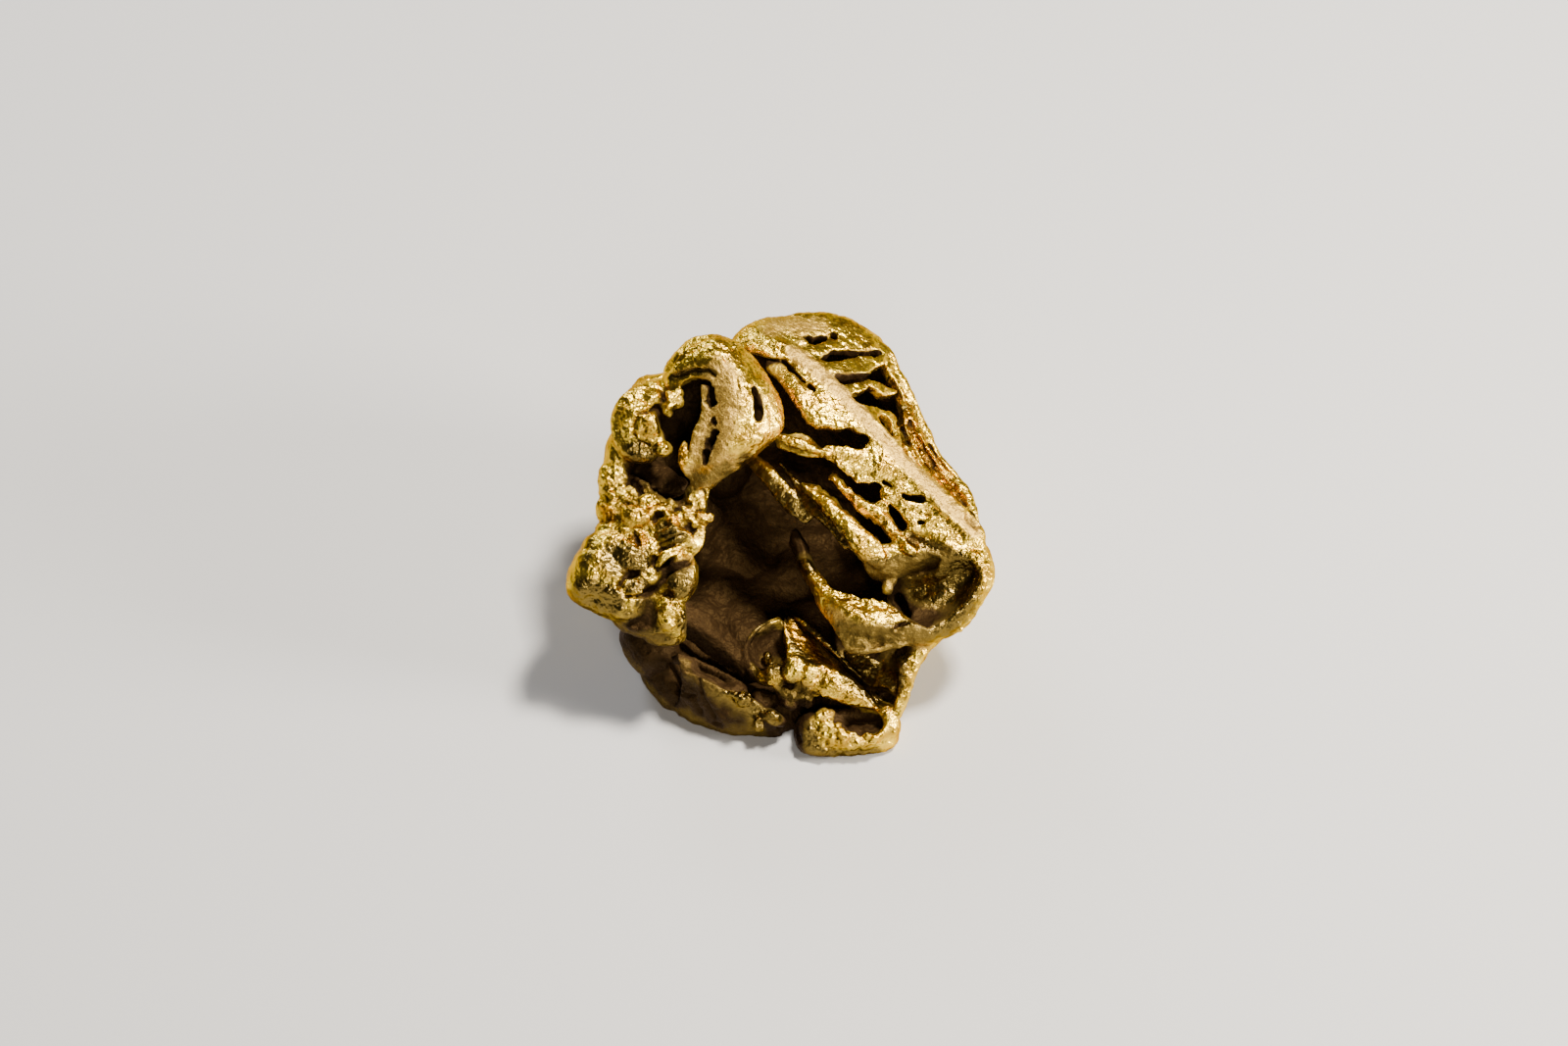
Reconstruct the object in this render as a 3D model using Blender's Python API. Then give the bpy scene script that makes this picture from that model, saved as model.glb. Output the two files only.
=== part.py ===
"""A natural gold nugget: one crumpled, water-worn shell of gold with a deep hollow in its front.

The nugget is laid out in millimetres on a flat table, looking straight down at its open face:
x runs across the face, y up the face and z out of it. It is then tipped up by TIP_DEG, set down on
the ground plane and turned into metres.
"""

import math

import bmesh
import bpy
from mathutils import Matrix, Vector, noise

NODE = "nugget"

# Driving dimensions, in millimetres unless the name says otherwise.
TIP_DEG = 40.0  # how far the laid-out face is tipped up to stand
GROUND = -6.1  # height of the ground under the layout's origin, once tipped
SKIN = 0.8  # usual thickness of the folded sheets
CELL = 0.13  # grid spacing of a sheet before it gets its thickness
VOXEL = 0.15  # spacing at which the shapes are fused into one skin
WEAR_PASSES = 3  # rounds of smoothing, as a river wears the gold
TRIANGLES = 9000  # faces kept in the finished solid
NOISE_SEED = 7  # any fixed number but 0, so that the crumpling is the same each time
METRES = 0.001


def along(values, share):
    """The value at a share, 0 to 1, of a smooth run through numbers or vectors."""
    spans = len(values) - 1
    index = min(int(share * spans), spans - 1)
    t = share * spans - index
    start, end = values[index], values[index + 1]
    before = values[index - 1] if index else 2 * start - end
    after = values[index + 2] if index + 2 <= spans else 2 * end - start
    return 0.5 * (
        2 * start
        + (end - before) * t
        + (2 * before - 5 * start + 4 * end - after) * t**2
        + (3 * start - before - 3 * end + after) * t**3
    )


def as_run(value):
    """A single number as a run of two, so that it can be read with along()."""
    return [value, value] if isinstance(value, (int, float)) else list(value)


def add_to(bm, own):
    """Moves the shape in its own small bmesh into the big one, which stays fast that way."""
    piece = bpy.data.meshes.new("piece")
    own.to_mesh(piece)
    own.free()
    bm.from_mesh(piece)
    bpy.data.meshes.remove(piece)


def soft_power(value, power):
    return math.copysign(abs(value) ** power, value)


def strap(bm, path, half_width, half_thick=None, facing=(0, 0, 1), crown=0.0, blunt=0.3, square=0.7):
    """A bar or band along a path. It is round where no half_thick is given.

    facing is the way its flat side looks and crown arches it that way. blunt says how its ends
    close, from 0 for cut off to 1 for a point, and square how its section does, from 0 for a box
    through 1 for an ellipse to 2 for a blade.
    """
    points = [Vector(p) for p in path]
    widths = as_run(half_width)
    thicks = widths if half_thick is None else as_run(half_thick)
    facing = Vector(facing).normalized()
    own = bmesh.new()
    bmesh.ops.create_uvsphere(own, u_segments=20, v_segments=8 * len(points), radius=1.0)
    step = 0.01
    for vert in own.verts:
        polar = math.acos(max(-1.0, min(1.0, vert.co.z)))
        share = polar / math.pi
        swell = max(math.sin(polar), 0.0) ** blunt
        around = math.atan2(vert.co.y, vert.co.x)
        across = soft_power(math.cos(around), square) * swell
        through = soft_power(math.sin(around), square) * swell
        ahead = along(points, min(share + step, 1.0)) - along(points, max(share - step, 0.0))
        side = ahead.cross(facing).normalized()
        out = side.cross(ahead).normalized()
        lift = crown * (1 - across**2)
        vert.co = (
            along(points, share)
            + side * across * along(widths, share)
            + out * (through * along(thicks, share) + lift)
        )
    add_to(bm, own)


def lump(bm, centre, radii, turn_deg=0.0, square=0.85):
    """A lump, boxy where square is under 1. radii is one number or three, turned about z."""
    radii = (radii,) * 3 if isinstance(radii, (int, float)) else radii
    own = bmesh.new()
    bmesh.ops.create_icosphere(own, subdivisions=4, radius=1.0)
    for vert in own.verts:
        size = sum(abs(c) ** (2 / square) for c in vert.co) ** (square / 2)
        vert.co /= size
    bmesh.ops.scale(own, vec=radii, verts=own.verts)
    turn = Matrix.Rotation(math.radians(turn_deg), 3, "Z")
    bmesh.ops.rotate(own, cent=(0, 0, 0), matrix=turn, verts=own.verts)
    bmesh.ops.translate(own, vec=centre, verts=own.verts)
    add_to(bm, own)


def in_slot(x, y, slot):
    """True where a point of the face lies in a ragged slot, (half width, run of (x, y) points)."""
    half_width, run = slot
    reach = half_width * (1.0 + 0.4 * noise.noise(Vector((x, y, 3.0)) * 2.2))
    for (ax, ay), (bx, by) in zip(run, run[1:]):
        dx, dy = bx - ax, by - ay
        share = max(0.0, min(1.0, ((x - ax) * dx + (y - ay) * dy) / (dx * dx + dy * dy)))
        if math.hypot(x - ax - share * dx, y - ay - share * dy) < reach:
            return True
    return False


def in_gap(x, y, gap):
    """True where a point of the face lies inside a gap's outline of (x, y) points."""
    inside = False
    for (ax, ay), (bx, by) in zip(gap, gap[1:] + gap[:1]):
        if (ay > y) != (by > y) and x < (bx - ax) * (y - ay) / (by - ay) + ax:
            inside = not inside
    return inside


def sheet(bm, ribs, thick=SKIN, slots=(), gaps=(), cell=CELL, crumple=0.12):
    """A folded sheet through ribs, its outer faces on them, with slots and gaps cut through it."""
    ribs = [[Vector(p) for p in rib] for rib in ribs]
    length = max(sum((b - a).length for a, b in zip(rib, rib[1:])) for rib in ribs)
    middle = len(ribs[0]) // 2
    breadth = sum((b[middle] - a[middle]).length for a, b in zip(ribs, ribs[1:]))
    own = bmesh.new()
    columns, rows = math.ceil(length / cell), math.ceil(breadth / cell)
    bmesh.ops.create_grid(own, x_segments=columns, y_segments=rows, size=1.0)
    cross = {}
    for vert in own.verts:
        u, v = (vert.co.x + 1) / 2, (vert.co.y + 1) / 2
        if u not in cross:
            cross[u] = [along(rib, u) for rib in ribs]
        vert.co = along(cross[u], v)
        vert.co += noise.noise_vector(vert.co * 0.6) * crumple
    cut = []
    for face in own.faces:
        x, y, _ = face.calc_center_median()
        if any(in_slot(x, y, slot) for slot in slots) or any(in_gap(x, y, gap) for gap in gaps):
            cut.append(face)
    bmesh.ops.delete(own, geom=cut, context="FACES")
    if sum(face.normal.z for face in own.faces) < 0:
        bmesh.ops.reverse_faces(own, faces=own.faces)
    own.normal_update()
    made = bmesh.ops.extrude_face_region(own, geom=own.faces[:], use_keep_orig=True)
    for inner in made["geom"]:
        if isinstance(inner, bmesh.types.BMVert):
            inner.co -= inner.normal * thick
    bmesh.ops.recalc_face_normals(own, faces=own.faces)
    add_to(bm, own)


def back_shell(bm):
    """The hidden rear and underside: one crumpled bowl that the front is folded on to."""
    sheet(
        bm,
        [
            [
                (-3.0, 9.2, -1.0), (-1.0, 10.2, -3.6), (1.5, 10.6, -5.0), (4.3, 9.4, -5.2),
                (5.6, 7.6, -3.0),
            ],
            [(-7.4, 6.2, 0.5), (-5.4, 6.4, -4.5), (0.0, 6.4, -7.4), (4.8, 5.8, -6.8), (7.0, 4.8, -2.4)],
            [(-8.8, 2.0, 1.0), (-7.2, 2.2, -5.0), (0.0, 1.6, -8.6), (6.4, 1.2, -7.0), (9.3, 0.6, 0.2)],
            [
                (-9.0, -1.4, 2.0), (-7.6, -1.8, -4.2), (0.0, -1.8, -6.6), (6.6, -1.8, -5.4),
                (9.6, -2.2, 1.5),
            ],
            [
                (-7.8, -4.6, 1.0), (-6.2, -4.8, -2.6), (0.0, -4.6, -3.8), (5.0, -4.8, -3.2),
                (8.0, -4.8, 2.0),
            ],
            [
                (-6.0, -7.8, 0.0), (-3.6, -8.2, -1.2), (0.0, -8.4, -1.0), (3.4, -8.4, -0.8),
                (5.6, -8.4, 1.0),
            ],
        ],
        thick=-1.0,
        cell=0.4,
        crumple=0.6,
    )


def base(bm):
    """The lower left body and the foot that the nugget stands on."""
    lump(bm, (-6.6, -5.4, 0.4), (1.6, 1.6, 2.2), 30, 0.75)
    lump(bm, (-5.3, -7.2, -0.4), (1.7, 1.9, 1.7), 35, 0.7)
    lump(bm, (-3.2, -8.4, -0.4), (2.4, 1.6, 1.6), -14, 0.7)
    lump(bm, (-0.6, -8.9, -0.3), (2.0, 1.35, 1.8), 0, 0.7)
    sheet(
        bm,
        [
            [(-5.4, -6.0, 1.6), (-4.2, -6.9, 1.9), (-2.6, -7.7, 2.0), (-1.5, -8.1, 1.9)],
            [(-6.1, -7.4, 0.7), (-4.6, -8.4, 1.4), (-2.8, -9.0, 1.7), (-0.8, -9.1, 1.7)],
            [(-6.2, -8.6, -0.8), (-4.6, -9.8, -0.3), (-2.4, -10.3, 0.1), (-0.2, -10.3, 0.2)],
        ],
        slots=[
            (0.13, [(-5.8, -6.8), (-5.5, -7.3), (-5.2, -7.8)]),
            (0.12, [(-3.5, -9.6), (-3.3, -9.6)]),
        ],
    )
    lump(bm, (-2.0, -8.3, 1.9), 0.45)
    lump(bm, (-1.0, -8.3, 1.8), (0.65, 0.5, 0.5), 30)
    lump(bm, (-1.3, -9.7, 0.9), 0.5)
    strap(bm, [(-1.0, -9.0, 1.6), (-0.3, -9.35, 1.5), (0.2, -9.6, 1.2)], 0.3)
    # the foot, two lobes round a pit
    strap(
        bm,
        [(0.9, -10.3, 1.6), (2.4, -10.7, 1.6), (4.0, -10.6, 1.6), (5.2, -9.9, 1.6)],
        [0.7, 0.7, 0.65, 0.7],
        1.0,
    )
    lump(bm, (1.8, -9.6, 1.7), (0.95, 1.1, 1.1), 0, 0.75)
    lump(bm, (3.6, -9.6, 0.8), (1.8, 1.1, 0.9), 0)
    lump(bm, (5.2, -9.3, 1.6), (0.6, 1.0, 1.0))
    lump(bm, (2.1, -9.2, 2.4), (0.4, 0.5, 0.45))


def left_lump(bm):
    """The great two-lobed lump on the left and the granular crust above it."""
    lump(bm, (-9.2, -2.2, 3.2), (1.65, 1.7, 2.0), -20, 0.75)
    lump(bm, (-8.7, -0.9, 2.9), (1.5, 1.2, 1.7), 20, 0.75)
    lump(bm, (-8.0, -3.0, 3.2), (1.7, 1.4, 1.9), -15, 0.75)
    lump(bm, (-6.0, -2.1, 3.9), (1.5, 1.4, 1.3), -8, 0.75)
    lump(bm, (-5.6, -3.6, 4.0), (1.0, 1.2, 1.2), 5, 0.75)
    lump(bm, (-7.0, -4.0, 3.0), (1.7, 0.9, 1.4), -14, 0.75)
    strap(
        bm,
        [(-8.0, -4.3, 3.9), (-6.9, -4.7, 4.1), (-6.0, -4.6, 4.4), (-5.4, -4.8, 4.4)],
        [0.35, 0.3, 0.35, 0.5],
    )
    lump(bm, (-7.1, -2.5, 4.6), (0.8, 0.35, 0.5), -20)
    lump(bm, (-7.6, -1.2, 3.9), (0.7, 0.55, 0.8), 20)
    strap(
        bm,
        [(-8.8, 0.5, 2.4), (-7.4, 0.4, 3.0), (-5.8, 0.2, 3.4), (-4.6, 0.3, 3.4)],
        [0.9, 1.1, 1.0, 0.7],
        0.9,
    )
    strap(
        bm,
        [(-6.2, 0.1, 4.0), (-5.4, -0.5, 4.4), (-4.7, -1.0, 4.4)],
        [0.5, 0.65, 0.35],
        0.4,
        facing=(-0.4, -0.3, 1),
        square=0.4,
    )
    lump(bm, (-7.4, 0.9, 3.7), (0.5, 0.45, 0.45))
    lump(bm, (-6.6, 1.5, 3.4), (0.55, 0.45, 0.5))
    lump(bm, (-5.5, 0.9, 3.9), (0.5, 0.5, 0.5))
    lump(bm, (-4.8, 0.95, 3.8), 0.38)
    lump(bm, (-4.3, 0.6, 3.7), (0.42, 0.6, 0.5))
    lump(bm, (-6.3, 0.5, 3.9), (0.4, 0.25, 0.4))
    lump(bm, (-8.3, 1.2, 2.7), (0.8, 0.6, 0.9), 0, 0.75)


def left_column(bm):
    """The flank between the big lump and the hood, with its curled knuckle."""
    lump(bm, (-8.1, 4.3, 1.8), (0.95, 1.5, 1.4), -10, 0.75)
    lump(bm, (-8.4, 2.3, 1.6), (0.9, 1.5, 1.4), 4, 0.75)
    lump(bm, (-8.4, 0.9, 2.0), (1.0, 0.9, 1.3), 0, 0.75)
    strap(
        bm,
        [
            (-6.3, 5.9, 3.0), (-7.3, 6.0, 3.0), (-7.9, 5.2, 2.9), (-7.6, 4.3, 3.0),
            (-6.7, 4.0, 3.1), (-6.2, 4.3, 3.2),
        ],
        [0.5, 0.6, 0.6, 0.6, 0.55, 0.3],
    )
    lump(bm, (-7.1, 5.1, 2.9), (0.9, 1.0, 0.9), 0, 0.8)
    lump(bm, (-5.85, 4.25, 3.6), 0.38)
    lump(bm, (-7.3, 6.9, 2.2), (0.95, 0.65, 1.0), 35, 0.75)
    lump(bm, (-6.4, 7.1, 2.2), (0.7, 0.6, 0.8))
    lump(bm, (-5.6, 6.8, 3.2), (0.6, 0.62, 0.6))
    strap(
        bm,
        [(-7.4, 2.7, 2.4), (-6.8, 2.0, 2.9), (-6.2, 1.6, 3.2), (-5.5, 1.4, 3.3), (-4.9, 1.7, 3.3)],
        [0.25, 0.35, 0.35, 0.35, 0.3],
    )
    strap(
        bm,
        [(-5.0, 4.7, 3.6), (-5.15, 3.7, 3.7), (-4.95, 2.7, 3.6), (-4.5, 2.2, 3.3)],
        [0.15, 0.22, 0.25, 0.3],
    )
    strap(bm, [(-5.6, 2.75, 3.0), (-5.0, 2.5, 3.4), (-4.7, 2.3, 3.5)], 0.18)
    sheet(
        bm,
        [
            [(-7.6, 7.0, 1.6), (-6.0, 7.4, 0.6), (-4.4, 7.6, 0.6), (-3.0, 7.6, 0.8)],
            [(-7.9, 4.6, 1.2), (-6.4, 4.6, 0.2), (-4.8, 4.6, 0.0), (-3.2, 4.6, 0.8)],
            [(-8.2, 2.2, 1.2), (-6.8, 2.2, 0.8), (-5.4, 2.0, 0.6), (-4.4, 2.0, 1.2)],
            [(-8.2, 0.2, 1.6), (-6.8, 0.0, 1.8), (-5.6, -0.2, 1.8), (-4.8, -0.4, 2.0)],
        ],
        cell=0.3,
        crumple=0.4,
    )


def hood(bm):
    """The thick curled hood at the upper left, with its slit front."""
    strap(
        bm,
        [
            (-5.9, 7.2, 1.9),
            (-5.6, 8.1, 2.0),
            (-4.9, 8.8, 2.3),
            (-3.9, 9.1, 2.7),
            (-2.8, 8.9, 3.0),
            (-1.9, 8.3, 3.2),
            (-1.4, 7.4, 3.2),
        ],
        [0.55, 0.72, 0.85, 0.9, 0.9, 0.8, 0.6],
        [0.7, 0.9, 1.0, 1.0, 1.0, 0.9, 0.6],
        square=0.8,
    )
    sheet(
        bm,
        [
            [
                (-4.1, 8.4, 3.2), (-4.1, 7.3, 3.9), (-4.25, 6.3, 4.2), (-4.75, 4.9, 4.3),
                (-4.95, 3.5, 4.0), (-4.7, 2.5, 3.7),
            ],
            [
                (-3.0, 8.9, 3.8), (-3.0, 7.4, 4.6), (-3.0, 5.9, 4.9), (-3.3, 4.6, 4.9),
                (-3.8, 3.4, 4.5), (-4.3, 2.3, 3.9),
            ],
            [
                (-2.1, 8.9, 3.7), (-2.1, 7.5, 4.6), (-2.1, 6.2, 5.0), (-2.0, 4.9, 5.0),
                (-2.5, 3.7, 4.6), (-3.7, 2.5, 4.0),
            ],
            [
                (-0.9, 8.3, 2.6), (-0.35, 7.2, 3.2), (-0.1, 6.2, 3.5), (-0.15, 5.2, 3.7),
                (-1.0, 4.3, 3.8), (-2.9, 2.8, 3.8),
            ],
            [
                (-1.6, 8.0, 0.8), (-1.2, 7.0, 1.0), (-1.0, 6.0, 1.3), (-1.1, 5.3, 1.6),
                (-1.8, 4.6, 2.0), (-3.2, 3.2, 2.4),
            ],
        ],
        thick=0.9,
        slots=[
            (0.20, [(-3.8, 7.5), (-3.7, 6.9), (-3.5, 6.4)]),
            (0.15, [(-3.6, 5.85), (-3.45, 5.55)]),
            (0.19, [(-3.4, 5.2), (-3.75, 4.4)]),
            (0.12, [(-3.9, 4.2), (-4.0, 3.6)]),
            (0.26, [(-1.55, 7.3), (-1.45, 6.6), (-1.2, 6.2), (-1.35, 5.8)]),
        ],
    )


def roof(bm):
    """The ridge that runs down from the top to the right, and the slotted plate behind it."""
    strap(
        bm,
        [
            (-1.9, 9.9, -0.6),
            (-0.4, 9.6, 0.0),
            (1.2, 8.7, 0.7),
            (2.7, 7.5, 1.3),
            (4.2, 5.9, 1.9),
            (6.0, 3.9, 2.3),
            (7.9, 1.8, 2.6),
            (9.6, 0.1, 2.7),
            (10.0, -1.2, 2.7),
        ],
        [0.6, 0.6, 0.45, 0.4, 0.4, 0.45, 0.6, 0.7, 0.6],
        [0.45, 0.4, 0.32, 0.3, 0.3, 0.32, 0.4, 0.5, 0.5],
        facing=(0.3, 0.5, 0.8),
    )
    lump(bm, (-1.3, 10.2, -1.0), (1.2, 0.85, 0.9), 30, 0.7)
    sheet(
        bm,
        [
            [(-1.8, 10.3, -0.6), (0.6, 9.3, 0.5), (2.6, 7.6, 1.4), (4.4, 5.8, 2.0), (6.0, 4.2, 2.3)],
            [(-0.9, 10.9, -1.4), (1.8, 10.1, -0.8), (3.9, 8.7, -0.4), (5.0, 7.0, 0.2), (6.0, 5.4, 0.6)],
            [
                (0.5, 11.3, -2.6), (2.6, 11.35, -2.8), (4.9, 10.1, -2.8), (6.0, 8.0, -2.2),
                (6.9, 6.0, -1.6),
            ],
            [
                (0.4, 10.6, -5.0), (2.6, 10.5, -5.4), (4.6, 9.5, -5.3), (5.8, 7.4, -4.8),
                (6.6, 5.2, -4.0),
            ],
        ],
        slots=[
            (0.20, [(1.0, 10.05), (1.6, 9.95), (2.1, 10.1)]),
            (0.14, [(2.5, 10.2), (2.65, 10.22)]),
            (0.22, [(2.0, 9.05), (2.8, 9.2), (5.0, 9.3)]),
            (0.17, [(2.7, 7.95), (3.4, 7.95), (4.6, 8.05)]),
            (0.20, [(4.9, 5.8), (5.1, 5.3), (5.8, 4.6)]),
        ],
        gaps=[
            [(4.5, 7.9), (4.8, 8.4), (5.3, 8.5), (5.8, 7.7), (6.0, 7.2), (5.2, 7.6)],
            [(3.2, 7.3), (4.5, 7.5), (5.5, 7.2), (6.0, 7.0), (5.9, 6.3), (5.2, 6.1), (4.2, 6.5)],
            [(5.0, 5.7), (5.7, 5.8), (6.2, 5.6), (6.4, 4.9), (5.9, 4.9), (5.3, 5.3)],
        ],
    )
    strap(
        bm,
        [(2.7, 7.4, 0.9), (3.8, 7.75, 0.4), (4.6, 7.85, 0.2), (5.2, 7.6, 0.2), (5.9, 7.3, -0.4)],
        [0.25, 0.22, 0.22, 0.18, 0.12],
    )
    strap(
        bm,
        [(3.9, 6.5, 1.6), (4.7, 6.45, 1.0), (5.4, 6.05, 0.8), (5.7, 5.6, 1.0)],
        [0.2, 0.25, 0.2, 0.1],
    )
    # the outer rim and the hollow flank inside it
    strap(
        bm,
        [
            (4.2, 10.4, -2.8),
            (5.2, 9.4, -2.6),
            (5.8, 8.2, -2.2),
            (6.45, 6.9, -1.8),
            (7.05, 5.4, -1.5),
            (7.6, 4.1, -1.2),
            (8.5, 3.0, -0.8),
            (9.3, 1.9, -0.2),
            (9.6, 0.8, 0.6),
            (9.7, -0.3, 1.6),
        ],
        [0.4, 0.34, 0.32, 0.32, 0.34, 0.36, 0.36, 0.36, 0.4, 0.5],
        [0.5, 0.5, 0.5, 0.5, 0.5, 0.5, 0.5, 0.5, 0.6, 0.8],
    )
    sheet(
        bm,
        [
            [(5.2, 8.4, -2.8), (6.3, 5.9, -2.0), (7.3, 3.9, -1.2), (8.6, 2.2, -0.3), (9.4, 0.7, 1.0)],
            [(5.0, 7.4, -2.4), (6.0, 5.2, -1.4), (7.0, 3.2, -0.4), (8.2, 1.8, 0.6), (9.2, 0.3, 1.6)],
            [(4.6, 6.2, 1.2), (5.8, 4.5, 1.5), (7.0, 3.0, 1.8), (8.2, 1.6, 2.0), (9.3, 0.2, 2.2)],
        ],
        thick=0.6,
        gaps=[[(4.4, 8.4), (5.4, 8.4), (6.0, 7.0), (6.5, 5.6), (6.6, 4.6), (5.8, 4.6), (4.4, 5.8)]],
    )


def facade(bm):
    """The slotted front that hangs from the ridge over the hollow."""
    sheet(
        bm,
        [
            [
                (-0.8, 9.4, 0.0), (1.4, 8.1, 0.9), (3.7, 6.0, 1.8), (5.9, 3.7, 2.3),
                (8.1, 1.4, 2.6), (9.9, -0.5, 2.8),
            ],
            [
                (-0.9, 8.8, 0.5), (0.9, 7.2, 1.5), (3.0, 5.4, 2.2), (5.3, 2.9, 2.6),
                (7.3, 0.7, 2.9), (9.2, -0.9, 3.1),
            ],
            [
                (-1.0, 8.2, 0.8), (0.4, 6.0, 1.9), (2.2, 4.2, 2.7), (4.3, 1.9, 2.7),
                (6.4, -0.5, 3.1), (8.4, -1.4, 3.2),
            ],
            [
                (-1.2, 6.6, 1.0), (-0.4, 4.8, 2.4), (1.1, 2.1, 2.0), (3.2, -0.6, 2.8),
                (4.9, -2.3, 3.6), (6.9, -1.9, 3.3),
            ],
        ],
        thick=0.6,
        crumple=0.2,
        slots=[
            (0.20, [(-1.6, 8.9), (-1.0, 9.0), (-0.4, 8.9)]),
            (0.13, [(0.0, 8.8), (0.5, 8.3), (1.0, 7.8), (1.6, 7.2)]),
            (0.25, [(2.1, 2.6), (3.0, 1.65), (4.0, 0.45), (5.0, -0.4), (5.9, -0.9)]),
            (0.20, [(5.2, 1.4), (5.7, 0.85), (6.2, 0.3)]),
            (0.12, [(6.0, 1.8), (6.6, 1.6), (7.2, 1.4)]),
            (0.14, [(6.8, 0.6), (7.0, 0.6)]),
        ],
        gaps=[
            [
                (-2.0, 8.4), (-0.9, 8.4), (-0.4, 8.0), (0.1, 7.0), (0.7, 6.2), (1.2, 5.55), (2.3, 5.45),
                (3.4, 5.4), (4.3, 5.15), (4.7, 4.85), (3.6, 4.3), (1.6, 4.45), (0.8, 5.0), (0.0, 5.1),
                (-0.6, 5.0), (-2.0, 5.0),
            ],
            [
                (-2.0, 4.6), (-0.5, 4.5), (0.2, 4.35), (1.0, 4.1), (2.0, 3.95), (2.5, 3.5), (3.1, 3.4),
                (4.0, 3.0), (4.9, 2.7), (4.9, 2.0), (4.4, 1.75), (3.8, 1.85), (2.9, 2.7), (2.4, 3.2),
                (2.0, 3.1), (1.9, 2.5), (1.4, 2.2), (0.8, 2.4), (-1.0, 2.8),
            ],
            [
                (-2.0, 3.4), (1.0, 2.3), (1.2, 1.8), (2.0, 0.7), (2.7, 0.0), (3.3, -0.7),
                (3.8, -1.6), (2.0, -2.0),
            ],
        ],
    )
    strap(
        bm,
        [(1.0, 2.3, 1.7), (1.9, 1.3, 2.1), (2.9, 0.2, 2.6), (3.9, -0.9, 3.0), (4.5, -1.7, 3.3)],
        [0.15, 0.35, 0.5, 0.55, 0.4],
        0.5,
    )
    strap(
        bm,
        [(-0.5, 4.85, 2.7), (0.5, 4.6, 2.8), (1.6, 4.2, 2.9), (2.6, 3.9, 2.8)],
        [0.3, 0.3, 0.3, 0.3],
        0.45,
    )
    strap(bm, [(4.6, 1.3, 2.6), (4.85, 1.75, 2.6)], 0.25)
    lump(bm, (5.2, -2.6, 3.2), 0.35)
    strap(
        bm,
        [(-1.9, 3.6, -0.2), (-0.7, 2.4, 0.2), (0.4, 1.3, 0.6), (1.3, 0.75, 0.8)],
        [0.3, 0.38, 0.4, 0.38],
        0.25,
        facing=(-0.5, 0.3, 0.8),
    )
    strap(bm, [(-0.4, 3.9, 0.2), (0.6, 2.9, 0.8), (1.3, 2.0, 1.3), (2.3, 0.9, 1.7)], 0.22)


def right_loop(bm):
    """The lower flap and the round loop that it ends in."""
    sheet(
        bm,
        [
            [
                (0.9, 0.3, 0.7), (1.1, -1.3, 1.7), (2.2, -2.6, 2.6), (4.0, -3.3, 3.2),
                (5.6, -3.7, 3.4), (6.6, -4.6, 3.2),
            ],
            [
                (0.8, -0.5, 0.9), (1.5, -2.6, 2.5), (2.7, -3.9, 3.5), (4.3, -4.6, 3.8),
                (6.0, -4.9, 3.6), (7.2, -5.1, 3.2),
            ],
            [
                (0.7, -1.1, 0.8), (1.6, -3.4, 2.2), (2.6, -5.2, 3.1), (3.4, -5.9, 3.5),
                (5.5, -5.5, 3.5), (7.4, -5.3, 3.1),
            ],
        ],
        thick=0.7,
        crumple=0.2,
    )
    strap(
        bm,
        [
            (0.9, -1.4, 1.9), (1.6, -2.2, 2.3), (2.6, -2.9, 2.8), (4.0, -3.4, 3.2),
            (5.4, -3.7, 3.4), (6.1, -4.3, 3.3),
        ],
        [0.2, 0.25, 0.28, 0.28, 0.3, 0.25],
    )
    strap(
        bm,
        [
            (8.6, -0.6, 2.8),
            (9.7, -0.9, 3.0),
            (10.2, -1.8, 3.1),
            (9.8, -3.1, 3.2),
            (9.0, -4.2, 3.2),
            (7.8, -5.0, 3.2),
            (6.2, -5.3, 3.4),
            (4.8, -5.6, 3.5),
        ],
        [0.6, 0.65, 0.6, 0.58, 0.5, 0.5, 0.4, 0.3],
        [0.7, 0.8, 0.9, 0.9, 0.8, 0.7, 0.5, 0.4],
    )
    sheet(
        bm,
        [
            [(6.0, -1.9, 2.9), (7.6, -1.5, 2.7), (9.4, -1.4, 2.7)],
            [(5.9, -3.2, 2.0), (7.8, -3.0, 1.6), (9.8, -2.7, 2.2)],
            [(6.0, -4.7, 2.8), (7.6, -4.9, 2.6), (9.1, -4.2, 2.7)],
        ],
        thick=0.7,
        slots=[(0.4, [(6.0, -3.4), (6.1, -3.6)])],
    )


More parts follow.
